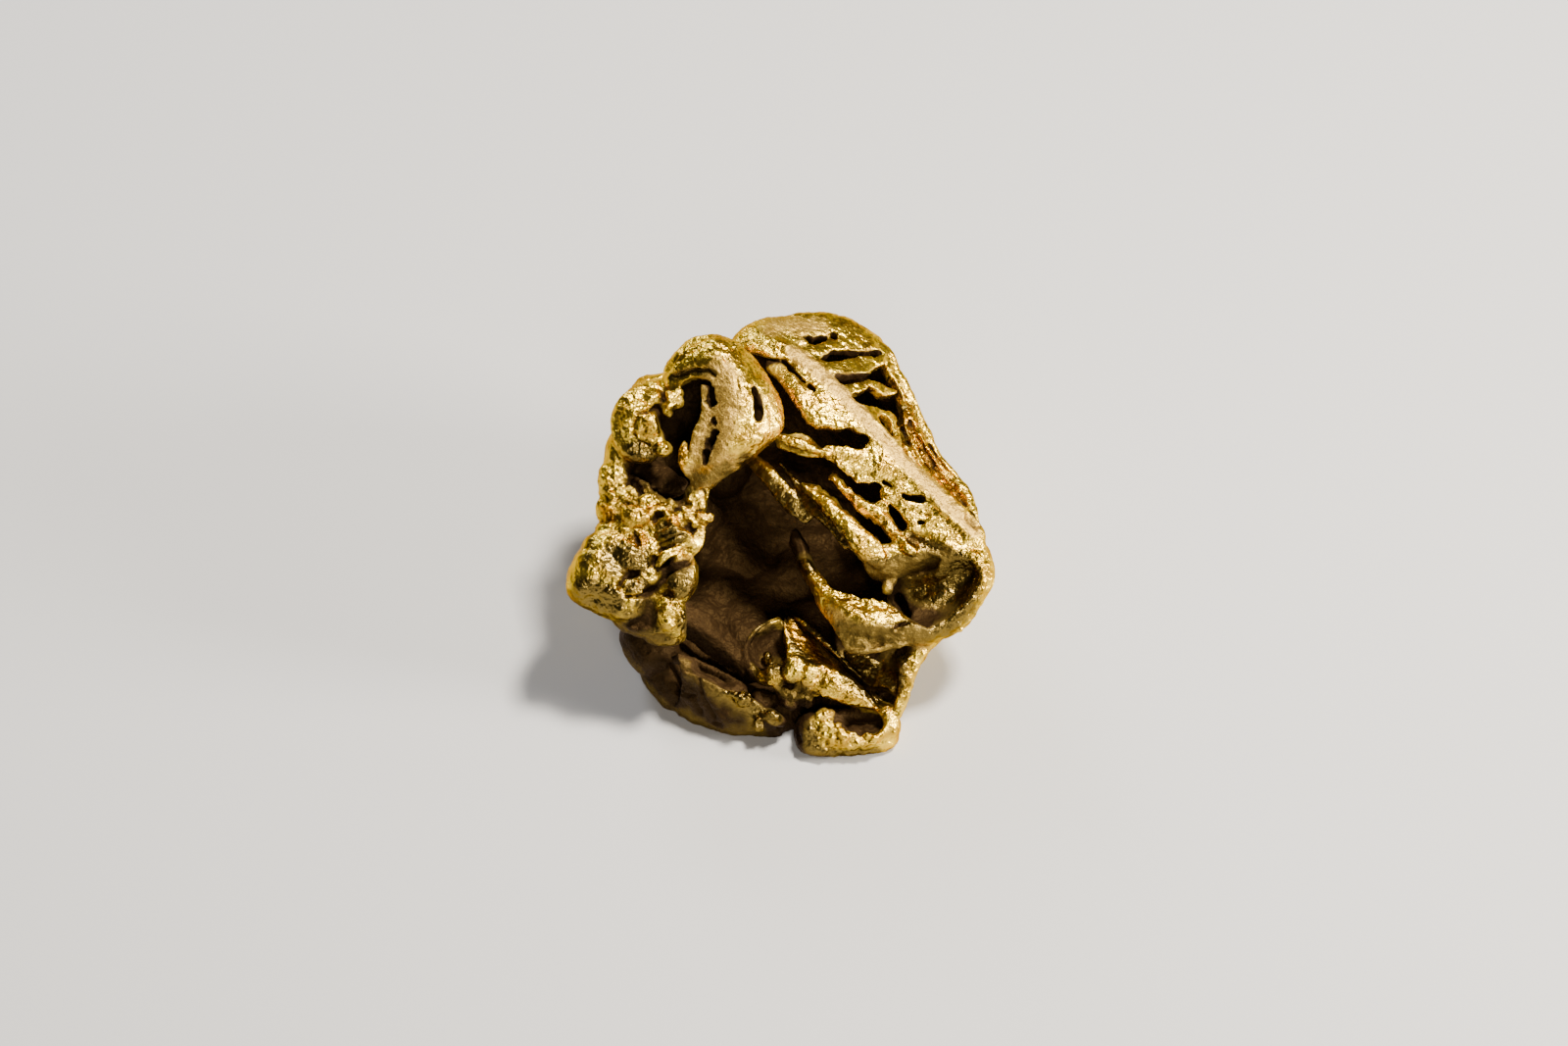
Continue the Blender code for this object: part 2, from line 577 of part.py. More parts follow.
def lower_folds(bm):
    """The small folds, cup and lumps on the floor of the hollow, and the leg to the foot."""
    strap(
        bm,
        [(7.6, -5.4, 2.6), (6.6, -6.4, 2.3), (6.15, -7.4, 2.0), (5.8, -8.4, 1.8), (5.4, -9.6, 1.6)],
        [0.6, 0.5, 0.42, 0.42, 0.5],
        0.6,
    )
    strap(
        bm,
        [(0.2, -6.7, 1.5), (1.4, -7.2, 1.8), (2.6, -7.7, 1.9), (3.8, -8.2, 1.8), (4.9, -8.9, 1.6)],
        [0.7, 0.75, 0.65, 0.6, 0.5],
        0.7,
    )
    lump(bm, (1.0, -6.6, 2.1), (0.6, 0.4, 0.5), -20)
    lump(bm, (2.3, -7.1, 2.2), (0.5, 0.4, 0.45), -20)
    lump(bm, (3.9, -7.7, 2.1), (0.5, 0.4, 0.4), -30)
    lump(bm, (0.1, -8.1, 1.3), (0.9, 0.8, 0.8), 0, 0.75)
    lump(bm, (1.4, -8.2, 1.7), (0.6, 0.5, 0.5))
    sheet(
        bm,
        [
            [(-0.2, -4.3, -0.2), (-1.2, -4.8, 0.2), (-1.9, -5.8, 0.6), (-1.7, -6.8, 1.0)],
            [(0.1, -4.8, -0.8), (-0.5, -5.2, -0.8), (-0.9, -5.9, -0.6), (-0.9, -6.8, 0.4)],
            [(0.5, -4.6, -0.4), (0.3, -5.4, -0.4), (0.2, -6.0, 0.0), (0.1, -6.6, 0.9)],
        ],
        thick=0.4,
    )
    strap(
        bm,
        [
            (-0.05, -4.2, 0.4), (-0.9, -4.5, 0.5), (-1.5, -5.0, 0.6), (-1.95, -5.8, 0.8),
            (-1.85, -6.5, 1.0), (-1.3, -7.2, 1.3), (-0.6, -7.7, 1.5),
        ],
        0.2,
    )
    lump(bm, (-0.5, -7.0, 1.5), (0.5, 0.45, 0.4))
    strap(bm, [(0.1, -4.1, 0.5), (0.05, -4.7, 0.7), (0.1, -5.4, 0.8)], 0.15)
    strap(
        bm,
        [(0.4, -4.0, 0.5), (1.4, -4.7, 0.8), (2.4, -5.7, 1.0), (3.4, -6.6, 1.2), (4.8, -7.7, 1.4)],
        0.2,
    )
    sheet(
        bm,
        [
            [(0.6, -4.0, 0.2), (1.6, -4.8, 0.5), (2.8, -6.0, 0.8), (4.0, -7.1, 1.0), (5.2, -8.0, 1.2)],
            [(0.3, -5.0, 0.0), (1.2, -5.8, 0.3), (2.4, -6.7, 0.7), (3.6, -7.6, 1.0), (4.8, -8.6, 1.2)],
            [(0.1, -6.2, 1.2), (1.0, -6.6, 1.5), (2.2, -7.2, 1.6), (3.4, -7.9, 1.5), (4.6, -8.9, 1.4)],
        ],
        thick=0.5,
    )
    strap(bm, [(3.0, -5.9, 0.8), (4.2, -6.6, 0.9), (5.2, -7.4, 1.0)], [0.3, 0.55, 0.3], 0.25)
    sheet(
        bm,
        [
            [(-6.8, 0.2, -1.2), (-5.0, -0.2, -1.8), (-3.4, -0.6, -2.6)],
            [(-6.6, -1.6, -1.0), (-4.8, -1.8, -1.6), (-3.2, -2.0, -2.6)],
            [(-6.2, -3.4, -0.6), (-4.8, -3.4, -1.2), (-3.8, -3.2, -2.0)],
        ],
        thick=0.6,
    )
    sheet(
        bm,
        [
            [(-5.4, -3.6, 2.0), (-4.0, -4.0, 1.2), (-2.6, -4.6, 0.4), (-1.8, -5.6, 0.4)],
            [(-5.6, -5.0, 1.6), (-4.2, -5.2, 1.0), (-3.0, -5.8, 0.8), (-2.0, -6.6, 1.0)],
            [(-5.4, -6.2, 0.8), (-4.2, -6.6, 0.8), (-3.0, -7.0, 1.0), (-1.9, -7.6, 1.4)],
        ],
        thick=0.6,
        gaps=[[(-5.2, -5.3), (-4.2, -5.1), (-2.9, -5.6), (-3.0, -6.2), (-4.4, -6.1)]],
    )


BUILD_STEPS = (back_shell, base, left_lump, left_column, hood, roof, facade, right_loop, lower_folds)


def ripple(rough, name, kind, size, strength):
    """A displacement of the whole skin by one of Blender's procedural textures."""
    texture = bpy.data.textures.new(name, kind)
    texture.noise_scale = size
    bumps = rough.modifiers.new(name, "DISPLACE")
    bumps.texture = texture
    bumps.texture_coords = "LOCAL"
    bumps.strength = strength
    bumps.mid_level = 0.5


def fused(bm):
    """All the shapes as one skin, worn smooth."""
    mesh = bpy.data.meshes.new(NODE)
    bm.to_mesh(mesh)
    bm.free()
    rough = bpy.data.objects.new(NODE, mesh)
    bpy.context.scene.collection.objects.link(rough)
    remesh = rough.modifiers.new("fuse", "REMESH")
    remesh.mode = "VOXEL"
    remesh.voxel_size = VOXEL
    wear = rough.modifiers.new("wear", "SMOOTH")
    wear.iterations = WEAR_PASSES
    wear.factor = 0.5
    ripple(rough, "dents", "CLOUDS", 1.0, 0.3)
    ripple(rough, "hammering", "CLOUDS", 0.4, 0.16)
    if TRIANGLES:
        bpy.context.view_layer.update()
        graph = bpy.context.evaluated_depsgraph_get()
        faces = len(rough.evaluated_get(graph).data.polygons)
        thin = rough.modifiers.new("thin", "DECIMATE")
        thin.ratio = TRIANGLES / (2 * faces)
        thin.use_collapse_triangulate = True
    bpy.context.view_layer.update()
    graph = bpy.context.evaluated_depsgraph_get()
    made = bpy.data.meshes.new_from_object(rough.evaluated_get(graph))
    bpy.data.objects.remove(rough)
    return made


def largest_piece(mesh):
    """Deletes every loose scrap but the biggest closed skin."""
    bm = bmesh.new()
    bm.from_mesh(mesh)
    seen, pieces = set(), []
    for vert in bm.verts:
        if vert in seen:
            continue
        group, todo = [], [vert]
        seen.add(vert)
        while todo:
            at = todo.pop()
            group.append(at)
            for edge in at.link_edges:
                other = edge.other_vert(at)
                if other not in seen:
                    seen.add(other)
                    todo.append(other)
        pieces.append(group)
    pieces.sort(key=len)
    for group in pieces[:-1]:
        bmesh.ops.delete(bm, geom=group, context="VERTS")
    bm.to_mesh(mesh)
    bm.free()


def stand(mesh):
    """Tips the laid-out nugget up, flattens what would sink into the ground, and centres it."""
    tip = Matrix.Rotation(math.radians(TIP_DEG), 4, "X")
    mesh.transform(tip)
    for vert in mesh.vertices:
        vert.co.z = max(vert.co.z - GROUND, 0.0)
    xs = [vert.co.x for vert in mesh.vertices]
    ys = [vert.co.y for vert in mesh.vertices]
    centre = Vector(((min(xs) + max(xs)) / 2, (min(ys) + max(ys)) / 2, 0))
    mesh.transform(Matrix.Scale(METRES, 4) @ Matrix.Translation(-centre))


def gold():
    """Native gold, satin from wear."""
    material = bpy.data.materials.new("native_gold")
    material.use_nodes = True
    shader = material.node_tree.nodes["Principled BSDF"]
    shader.inputs["Base Color"].default_value = (0.80, 0.56, 0.18, 1)
    shader.inputs["Metallic"].default_value = 1.0
    shader.inputs["Roughness"].default_value = 0.38
    return material


def main():
    for obj in list(bpy.data.objects):
        bpy.data.objects.remove(obj)
    noise.seed_set(NOISE_SEED)
    bm = bmesh.new()
    for step in BUILD_STEPS:
        step(bm)
    mesh = fused(bm)
    largest_piece(mesh)
    stand(mesh)
    mesh.materials.append(gold())
    nugget = bpy.data.objects.new(NODE, mesh)
    bpy.context.scene.collection.objects.link(nugget)
    mesh.shade_smooth()


main()
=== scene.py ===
"""A gold nugget for display: a crumpled, water-worn body of native gold on a pale floor.

The nugget is shaped in millimetres as it would lie on a table, looking straight down at its open
face: x runs across the face, y up the face and z out of it. It is then tipped up to stand.
"""

import math

import bmesh
import bpy
import numpy as np
from mathutils import Matrix, Vector, noise
from mathutils.bvhtree import BVHTree


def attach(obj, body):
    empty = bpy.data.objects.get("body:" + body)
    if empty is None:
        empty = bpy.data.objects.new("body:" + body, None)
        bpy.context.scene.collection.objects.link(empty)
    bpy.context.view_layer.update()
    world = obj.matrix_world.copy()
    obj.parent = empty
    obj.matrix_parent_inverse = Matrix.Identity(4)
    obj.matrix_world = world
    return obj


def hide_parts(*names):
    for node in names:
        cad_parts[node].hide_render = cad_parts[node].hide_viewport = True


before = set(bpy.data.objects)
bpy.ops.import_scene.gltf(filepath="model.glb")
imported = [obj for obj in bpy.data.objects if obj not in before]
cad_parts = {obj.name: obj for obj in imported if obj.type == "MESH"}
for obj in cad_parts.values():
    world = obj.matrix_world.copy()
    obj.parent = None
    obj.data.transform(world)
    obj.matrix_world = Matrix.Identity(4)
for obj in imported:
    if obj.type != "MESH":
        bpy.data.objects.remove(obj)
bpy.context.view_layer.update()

# Driving dimensions, in millimetres unless the comment says otherwise.
MM = 0.001  # metres in a millimetre
TIP_DEG = 40.0  # how far the laid-out face is tipped up to stand
GROUND = -6.1  # height of the ground under the layout's origin, once tipped
SKIN = 0.8  # usual thickness of the folded sheets
CELL = 0.10  # grid spacing of a sheet before it gets its thickness
FOLDS = 0.6  # crumples of a sheet, per millimetre
RAGGED = (0.4, 2.2)  # how ragged a slot's edges are: share of its width, bites per millimetre
VOXEL = 0.075  # spacing at which the shapes are fused into one skin
WEAR_PASSES = 4  # rounds of smoothing, as a river wears the gold
TRIANGLES = 190000  # kept in the finished body
NOISE_SEED = 7
LUMP_SQUARE = 0.85  # usual squareness of a lump

# What wear does to the skin: height, bumps per millimetre and where in the noise it is read.
DENTS = (0.14, 0.7, (5, 0, 0))
HAMMERING = (0.06, 1.5, (9, 0, 0))
RIPPLES = (0.05, 2.6, (0, 0, 0))
FROST = (0.012, 8.0, (2, 0, 0))
SUGAR = (0.08, 9.0, (0, 0, 0))
WEAR_LEVEL = 0.03  # what these add on the whole, taken off again
TURN_FADE = 3.0  # how fast marks come in on skin that turns towards the open face
FAINT = 0.05  # grains weaker than this are left out
GRAINS_PER_MM = 2.6
GRAIN_HEIGHT = 0.16
GRAIN_SLOPE = 0.4  # how fast a grain falls away from its middle
GRAIN_EDGE = 0.12  # how sharply it parts from the next

# How closed in a point is, told from rays sent out of it; it sets the iron stain and the painted
# shade.
RAYS = 18
RAY_START = 0.04  # clear of the skin
HOLLOW = 6.5  # a hit within this counts towards a hollow
CREASE = 0.6  # and within this towards a crease
DEPTHS = (0.5, 2.5)  # where in the layout the depths begin, and how fast their painted shade darkens
DEPTHS_SHARE = 0.42  # what lying there adds to how closed in a point is
FACING_SLACK = 0.3  # how far past edge-on a point still counts as facing out of the face
STAIN_AND_SHADE_SHARE = 0.62  # what a full mark of stain and painted shade adds, and a mark of clean, lit gold takes off
CLEAN_AND_LIT_SHARE = 0.45
DEEP_ROUNDS = 10  # rounds of averaging over the neighbours
CREASED_ROUNDS = 1

CAMERA_ELEVATION = 50.0  # degrees
CAMERA_DISTANCE = 266.0
CAMERA_TARGET = (0, 0.575, 0)  # in the layout
LENS = 120.0
LIGHTS_AIM = (0, 0, 7)  # the nugget's middle
FLOOR_HALF = 1500.0
WARM_WHITE = "FFF4E0"
WHITE = "FFFFFF"
NATIVE_GOLD = "native_gold"


def along(values, share):
    """The value at a share, 0 to 1, of a smooth run through numbers or vectors."""
    spans = len(values) - 1
    index = min(int(share * spans), spans - 1)
    t = share * spans - index
    start, end = values[index], values[index + 1]
    before = values[index - 1] if index else 2 * start - end
    after = values[index + 2] if index + 2 <= spans else 2 * end - start
    return 0.5 * (
        2 * start
        + (end - before) * t
        + (2 * before - 5 * start + 4 * end - after) * t**2
        + (3 * start - before - 3 * end + after) * t**3
    )


def run(text):
    """The points written as "x,y x,y" on the face or "x,y,z x,y,z" in space."""
    return [tuple(float(number) for number in point.split(",")) for point in text.split()]


def runs(text):
    """Several such runs, parted by semicolons."""
    return [run(part) for part in text.split(";") if part.strip()]


def rows(table):
    """The same, a line each; a number that stands alone is read as a point of one."""
    return [run(line) for line in table.strip().splitlines()]


def spaced(value):
    """A single number as a run of two, so that it can be read with along()."""
    return [value, value] if isinstance(value, (int, float)) else list(value)


def add_to(bm, own):
    """Moves the shape in its own small bmesh into the big one, which stays fast that way."""
    piece = bpy.data.meshes.new("piece")
    own.to_mesh(piece)
    own.free()
    bm.from_mesh(piece)
    bpy.data.meshes.remove(piece)


def soft_power(value, power):
    """A power that keeps the value's sign."""
    return math.copysign(abs(value) ** power, value)


def strap(bm, path, half_width, half_thick=None, facing=(0, 0, 1), blunt=0.3, square=0.7):
    """A bar or band along a path. It is round where no half_thick is given.

    facing is the way its flat side looks. blunt says how its ends close, from 0 for cut off to 1
    for a point, and square how its section does, from 0 for a box through 1 for an ellipse to 2
    for a blade.
    """
    points = [Vector(p) for p in run(path)]
    widths = spaced(half_width)
    thicks = widths if half_thick is None else spaced(half_thick)
    facing = Vector(facing).normalized()
    own = bmesh.new()
    around_count, per_point, step = 20, 8, 0.01
    bmesh.ops.create_uvsphere(
        own, u_segments=around_count, v_segments=per_point * len(points), radius=1.0
    )
    for vert in own.verts:
        polar = math.acos(max(-1.0, min(1.0, vert.co.z)))
        share = polar / math.pi
        swell = max(math.sin(polar), 0.0) ** blunt
        around = math.atan2(vert.co.y, vert.co.x)
        across = soft_power(math.cos(around), square) * swell
        through = soft_power(math.sin(around), square) * swell
        ahead = along(points, min(share + step, 1.0)) - along(points, max(share - step, 0.0))
        side = ahead.cross(facing).normalized()
        out = side.cross(ahead).normalized()
        vert.co = (
            along(points, share)
            + side * across * along(widths, share)
            + out * (through * along(thicks, share))
        )
    add_to(bm, own)


def lumps(bm, table):
    """Lumps, a line each: centre, radii or one radius, then a turn and a squareness if need be.

    The turn is in degrees about z. A lump is boxy where its squareness is under 1.
    """
    for centre, radii, *rest in rows(table):
        (turn_deg,), (square,) = rest + [(0.0,), (LUMP_SQUARE,)][len(rest) :]
        own = bmesh.new()
        bmesh.ops.create_icosphere(own, subdivisions=4, radius=1.0)
        for vert in own.verts:
            vert.co /= sum(abs(c) ** (2 / square) for c in vert.co) ** (square / 2)
        radii = radii * 3 if len(radii) == 1 else radii
        bmesh.ops.scale(own, vec=radii, verts=own.verts)
        turn = Matrix.Rotation(math.radians(turn_deg), 3, "Z")
        bmesh.ops.rotate(own, cent=(0, 0, 0), matrix=turn, verts=own.verts)
        bmesh.ops.translate(own, vec=centre, verts=own.verts)
        add_to(bm, own)


def off_path(x, y, path):
    """Distance of a point of the face from a run of points."""
    nearest = math.inf
    for (ax, ay), (bx, by) in zip(path, path[1:]):
        dx, dy = bx - ax, by - ay
        share = max(0.0, min(1.0, ((x - ax) * dx + (y - ay) * dy) / (dx * dx + dy * dy)))
        nearest = min(nearest, math.hypot(x - ax - share * dx, y - ay - share * dy))
    return nearest


def in_slot(x, y, slot):
    """True where a point of the face lies in a ragged slot: a half width, then its run."""
    (half_width,), *path = slot
    share, bites = RAGGED
    edge = half_width * (1 + share * noise.noise(Vector((x, y, 3)) * bites))
    return off_path(x, y, path) < edge


def in_gap(x, y, gap):
    """True where a point of the face lies inside a gap's outline."""
    inside = False
    for (ax, ay), (bx, by) in zip(gap, gap[1:] + gap[:1]):
        if (ay > y) != (by > y) and x < (bx - ax) * (y - ay) / (by - ay) + ax:
            inside = not inside
    return inside


def sheet(bm, ribs, thick=SKIN, slots="", gaps="", cell=CELL, crumple=0.12):
    """A folded sheet through ribs, its outer faces on them, with slots and gaps cut through it."""
    ribs = [[Vector(p) for p in rib] for rib in runs(ribs)]
    slots, gaps = runs(slots), runs(gaps)
    length = max(sum((b - a).length for a, b in zip(rib, rib[1:])) for rib in ribs)
    middle = len(ribs[0]) // 2
    breadth = sum((b[middle] - a[middle]).length for a, b in zip(ribs, ribs[1:]))
    own = bmesh.new()
    wide, high = math.ceil(length / cell), math.ceil(breadth / cell)
    bmesh.ops.create_grid(own, x_segments=wide, y_segments=high, size=1.0)
    cross = {}
    for vert in own.verts:
        u, v = (vert.co.x + 1) / 2, (vert.co.y + 1) / 2
        if u not in cross:
            cross[u] = [along(rib, u) for rib in ribs]
        vert.co = along(cross[u], v)
        vert.co += noise.noise_vector(vert.co * FOLDS) * crumple
    cut = []
    for face in own.faces:
        x, y, _ = face.calc_center_median()
        if any(in_slot(x, y, slot) for slot in slots) or any(in_gap(x, y, gap) for gap in gaps):
            cut.append(face)
    bmesh.ops.delete(own, geom=cut, context="FACES")
    if sum(face.normal.z for face in own.faces) < 0:
        bmesh.ops.reverse_faces(own, faces=own.faces)
    own.normal_update()
    made = bmesh.ops.extrude_face_region(own, geom=own.faces[:], use_keep_orig=True)
    for inner in made["geom"]:
        if isinstance(inner, bmesh.types.BMVert):
            inner.co -= inner.normal * thick
    bmesh.ops.recalc_face_normals(own, faces=own.faces)
    add_to(bm, own)


def back_shell(bm):
    """The hidden rear and underside: one crumpled bowl that the front is folded on to."""
    sheet(bm, """
        -3,9.2,-1 -1,10.2,-3.6 1.5,10.6,-5 4.3,9.4,-5.2 5.6,7.6,-3;
        -7.4,6.2,0.5 -5.4,6.4,-4.5 0,6.4,-7.4 4.8,5.8,-6.8 7,4.8,-2.4;
        -8.8,2,1 -7.2,2.2,-5 0,1.6,-8.6 6.4,1.2,-7 9.3,0.6,0.2;
        -9,-1.4,2 -7.6,-1.8,-4.2 0,-1.8,-6.6 6.6,-1.8,-5.4 9.6,-2.2,1.5;
        -7.8,-4.6,1 -6.2,-4.8,-2.6 0,-4.6,-3.8 5,-4.8,-3.2 8,-4.8,2;
        -6,-7.8,0 -3.6,-8.2,-1.2 0,-8.4,-1 3.4,-8.4,-0.8 5.6,-8.4,1
    """, thick=-1.0, cell=0.4, crumple=0.6)
    # worn folds that cross the rear
    strap(bm, "-6.6,5.6,-1.8 -5.6,2.8,-4.6 -6.2,-0.6,-4.6 -5.8,-4,-2.6", [0.7, 0.9, 0.8, 0.6], 0.5,
          facing=(-0.7, 0, -0.7), square=0.9)
    strap(bm, "-1.6,8.4,-4.6 0.6,6.4,-6.8 3.2,3.6,-7.4 6.2,1.4,-6.2 8.2,0.2,-3.2",
          [0.8, 1.0, 0.8, 0.9, 0.6], 0.5, facing=(0.1, 0.4, -0.9), square=0.9)
    lumps(bm, """
        2.8,7.4,-5.6 1.6,1,1 20
        -3,3.6,-6.2 1.4,1.8,1.1 -30
    """)


def base(bm):
    """The lower left body, the plate that overhangs it and the foot that the nugget stands on."""
    lumps(bm, """
        -6.8,-5.6,-0.2 1.4,1.6,2 30 0.75
        -5.6,-7.2,-0.9 1.5,1.9,1.6 38 0.75
        -3.4,-8.5,-0.9 2.4,1.6,1.5 -14 0.75
        -0.8,-8.9,-0.6 2,1.4,1.7 0 0.75
    """)
    sheet(bm, """
        -5.4,-5.9,2.2 -4.4,-6.2,2 -3.2,-6.8,1.9 -1.9,-7.6,1.8;
        -5.3,-6.6,2.4 -4.2,-7.2,2.5 -2.8,-7.9,2.5 -1.6,-8.1,2.3;
        -5.2,-7.8,1.7 -4.2,-8.6,1.9 -2.6,-9.1,2 -0.8,-9.1,1.9;
        -5.6,-8.9,0 -4.4,-9.7,0.2 -2.4,-10.35,0.4 -0.1,-10.35,0.4;
        -5.2,-8.7,-1.4 -4,-9.3,-1.4 -2.2,-9.9,-1.2 -0.1,-9.9,-1
    """, thick=0.7, crumple=0.2)
    lumps(bm, """
        -2.05,-8.3,2.5 0.46,0.44,0.46
        -2.5,-8.05,2.45 0.3,0.2,0.25 -15
        -0.6,-9.1,2.35 0.42,0.2,0.3 -25
        -1.3,-9.6,1.85 0.24,0.36,0.35 10
    """)
    strap(bm, "-1.2,-8.9,1.9 -0.6,-9.2,1.9 0.1,-9.6,1.5", 0.35)
    # the foot: a block with a bright mound at its left and a pit sunk behind its front edge
    lumps(bm, """
        3.2,-10,0.9 2.65,1.25,1.35 4 0.6
        1.7,-10.1,1.2 1.1,1.15,1.3 -10 0.7
        5.1,-9.5,1.3 0.8,1,1 15 0.8
    """)
    strap(bm, "1.6,-9.3,2.1 2.4,-10,2.3 3.4,-10.4,2.1 4.6,-10.1,2.1 5.4,-9.4,2",
          [0.45, 0.6, 0.45, 0.4, 0.35], 0.5)
    lumps(bm, """
        2.05,-9.35,2.15 0.42,0.6,0.38 15
        2.35,-9.05,2.1 0.26,0.22,0.26 15
        1.8,-9.75,2.2 0.3,0.34,0.28
        2.9,-9.9,2.4 0.45,0.5,0.45 30
    """)
    strap(bm, "4.3,-9.2,1.9 5,-9.35,2", 0.18)


def left_lump(bm):
    """The great lump on the left, a cluster of facets, and the granular crust above it."""
    lumps(bm, """
        -9.2,-2.2,3 1.65,1.7,2 -20 0.7
        -8.7,-0.9,2.9 1.5,1.2,1.7 20 0.7
        -8.2,-3,3.2 1.6,1.4,1.9 -15 0.7
        -7.7,-1.2,3.8 1.15,0.95,1.1 -25
        -5.2,-2.2,3.9 0.85,1.3,1.2 -12 0.8
        -6.4,-2.6,3.5 1.3,1.3,1.1 0 0.75
        -5.7,-3.9,3.9 0.8,1.1,1.1 12 0.75
        -7,-4.2,2.7 1.7,1,1.4 -14 0.7
        -6,-4.8,2.7 1.1,0.85,1.1 0 0.75
    """)
    strap(bm, "-8.2,-4.1,3.7 -7.6,-4.6,3.9 -6.9,-4.8,4 -6.1,-4.7,4.2 -5.4,-4.95,4.2 -5.2,-5.2,4",
          [0.3, 0.3, 0.24, 0.26, 0.3, 0.22])
    strap(bm, "-8.4,-3.4,4.4 -7.9,-3.2,4.6 -7.7,-3.9,4.3", [0.25, 0.3, 0.25])
    strap(bm, "-7.95,-2.3,4.5 -7.4,-2.05,4.6 -7,-2.2,4.6 -6.65,-2.55,4.5 -6.5,-2.8,4.4",
          [0.1, 0.12, 0.13, 0.12, 0.1])
    lumps(bm, """
        -7.35,-2.55,4 0.65,0.42,0.45 -10
        -7.75,-2.75,4.2 0.3,0.22,0.3
        -6.55,-3.9,3.7 0.6,0.9,0.65
        -6.95,-2.75,4.2 0.4,0.3,0.35
    """)
    strap(bm, "-6.4,-1.7,4.6 -5.9,-1,4.7 -5,-0.7,4.6", [0.2, 0.25, 0.2])
    lumps(bm, """
        -6.8,-0.8,3.8 1,0.7,0.8 -20
        -8.5,0.1,2.8 1,0.8,1.1 0 0.8
    """)
    # the crust, a ragged shelf of grains that overhangs the hollow
    strap(bm, "-8.8,0.8,2.4 -7.4,0.6,3.1 -5.8,0.3,3.5 -4.5,0.3,3.4", [1.0, 1.4, 1.2, 0.8], 0.9)
    lumps(bm, """
        -8,1.7,2.9 0.8,0.7,0.7 20 0.7
        -5.6,1.3,3.2 0.6,0.4,0.6 0 0.7
    """)
    strap(bm, "-6.5,-0.1,4.1 -5.5,-0.3,4.4 -4.5,-0.2,4.3", [0.5, 0.75, 0.5], 0.3,
          facing=(-0.2, -0.3, 1), square=0.4)
    strap(bm, "-4.2,0.5,3.8 -4.35,-0.4,4 -4.7,-1.1,4.2", [0.35, 0.35, 0.25])
    lumps(bm, """
        -7.45,0.9,4.1 0.72,0.6,0.5
        -7.85,0.15,3.9 0.6,0.5,0.5
        -6.85,-3.8,3.7 0.65,0.8,0.6 -15
        -6.7,1.6,3.4 0.5,0.45,0.5
        -5.55,0.7,4.1 0.4,0.4,0.45
        -4.8,1,3.9 0.36
        -4.3,0.7,3.9 0.42
        -3.75,0.85,3.7 0.2
        -8.5,1.2,2.7 0.75,0.6,0.9 0 0.75
        -8.1,-0.1,3.5 0.5,0.4,0.6
        -8,0.5,3.2 0.6,0.6,0.6
        -4.8,0.4,3.5 0.5,0.4,0.5
        -7.2,-0.1,4 0.4,0.35,0.5
    """)


def left_column(bm):
    """The flank between the big lump and the hood, with its curled knuckle."""
    lumps(bm, """
        -8.2,4.1,1.6 0.85,1.3,1.3 -8 0.75
        -8.5,2.5,1.7 0.85,1.3,1.4 0 0.75
        -8.6,1.2,2 0.9,0.8,1.3 0 0.75
    """)
    # the knuckle: an outer fold curled round an inner swirl
    strap(bm, "-6.3,7.2,2.3 -7.2,7,2.5 -7.9,6.3,2.5 -8.1,5.3,2.5 -7.7,4.4,2.8 -6.9,4.1,3 "
          "-6.3,4.2,3.1", [0.5, 0.65, 0.7, 0.65, 0.7, 0.7, 0.5])
    lumps(bm, """
        -6.8,4.7,2.9 0.85,0.7,0.7 10
        -7.3,5.5,2.5 1.1,1.4,1.25
        -6.75,5.5,3.2 0.5,0.75,0.65 10
        -6.6,6.8,2.6 0.5,0.5,0.6
        -6.05,4.25,3.4 0.45,0.4,0.4
        -6.5,7.1,1.9 0.8,0.7,0.8
        -5.55,6.75,3 0.42,0.44,0.48
        -5.2,6.6,3.2 0.22,0.26,0.25
        -5.75,7.05,3.2 0.24,0.2,0.24
        -5.3,7.05,3.1 0.28
        -5.75,6.45,3.2 0.26
        -5.85,6.3,2.8 0.4,0.45,0.5
    """)
    # a bright rim and a thin spur bound the cave under the knuckle
    strap(bm, "-7.7,3,2.4 -7.1,2.5,2.8 -6.6,1.9,3.1 -5.9,1.45,3.3 -5.2,1.5,3.4 -4.7,2,3.4",
          [0.2, 0.25, 0.28, 0.26, 0.24, 0.24])
    strap(bm, "-4.98,4.75,3.8 -5.02,4.2,3.9 -4.98,3.5,3.9 -4.75,2.8,3.8", [0.16, 0.23, 0.28, 0.24])
    lumps(bm, "-4.5,1.7,3.3 0.6,0.9,0.6")
    # the sloping floor of the cave
    strap(bm, "-8,3.9,0.9 -6.8,3.1,1.3 -5.8,2.5,1.9 -4.8,2.4,2.4", [0.6, 0.8, 0.8, 0.6], 0.4,
          facing=(0.2, 0.5, 1))
    # the wall behind the cave
    sheet(bm, """
        -7.6,7.4,1.4 -6.2,8.2,0.4 -4.4,8.8,0.4 -2.6,8.8,0.6;
        -7.9,6.2,1.4 -6.2,6.6,0.2 -4.4,6.9,0.2 -2.8,6.9,0.6;
        -7.9,4.6,1.2 -6.4,4.6,0 -4.8,4.6,0 -3.2,4.6,0.8;
        -8.2,2.2,1.2 -6.8,2.2,0.6 -5.4,2,0.6 -4.4,2,1.2;
        -8.2,0.2,1.6 -6.8,0,1.8 -5.6,-0.2,1.8 -4.8,-0.4,2
    """, cell=0.3, crumple=0.4)


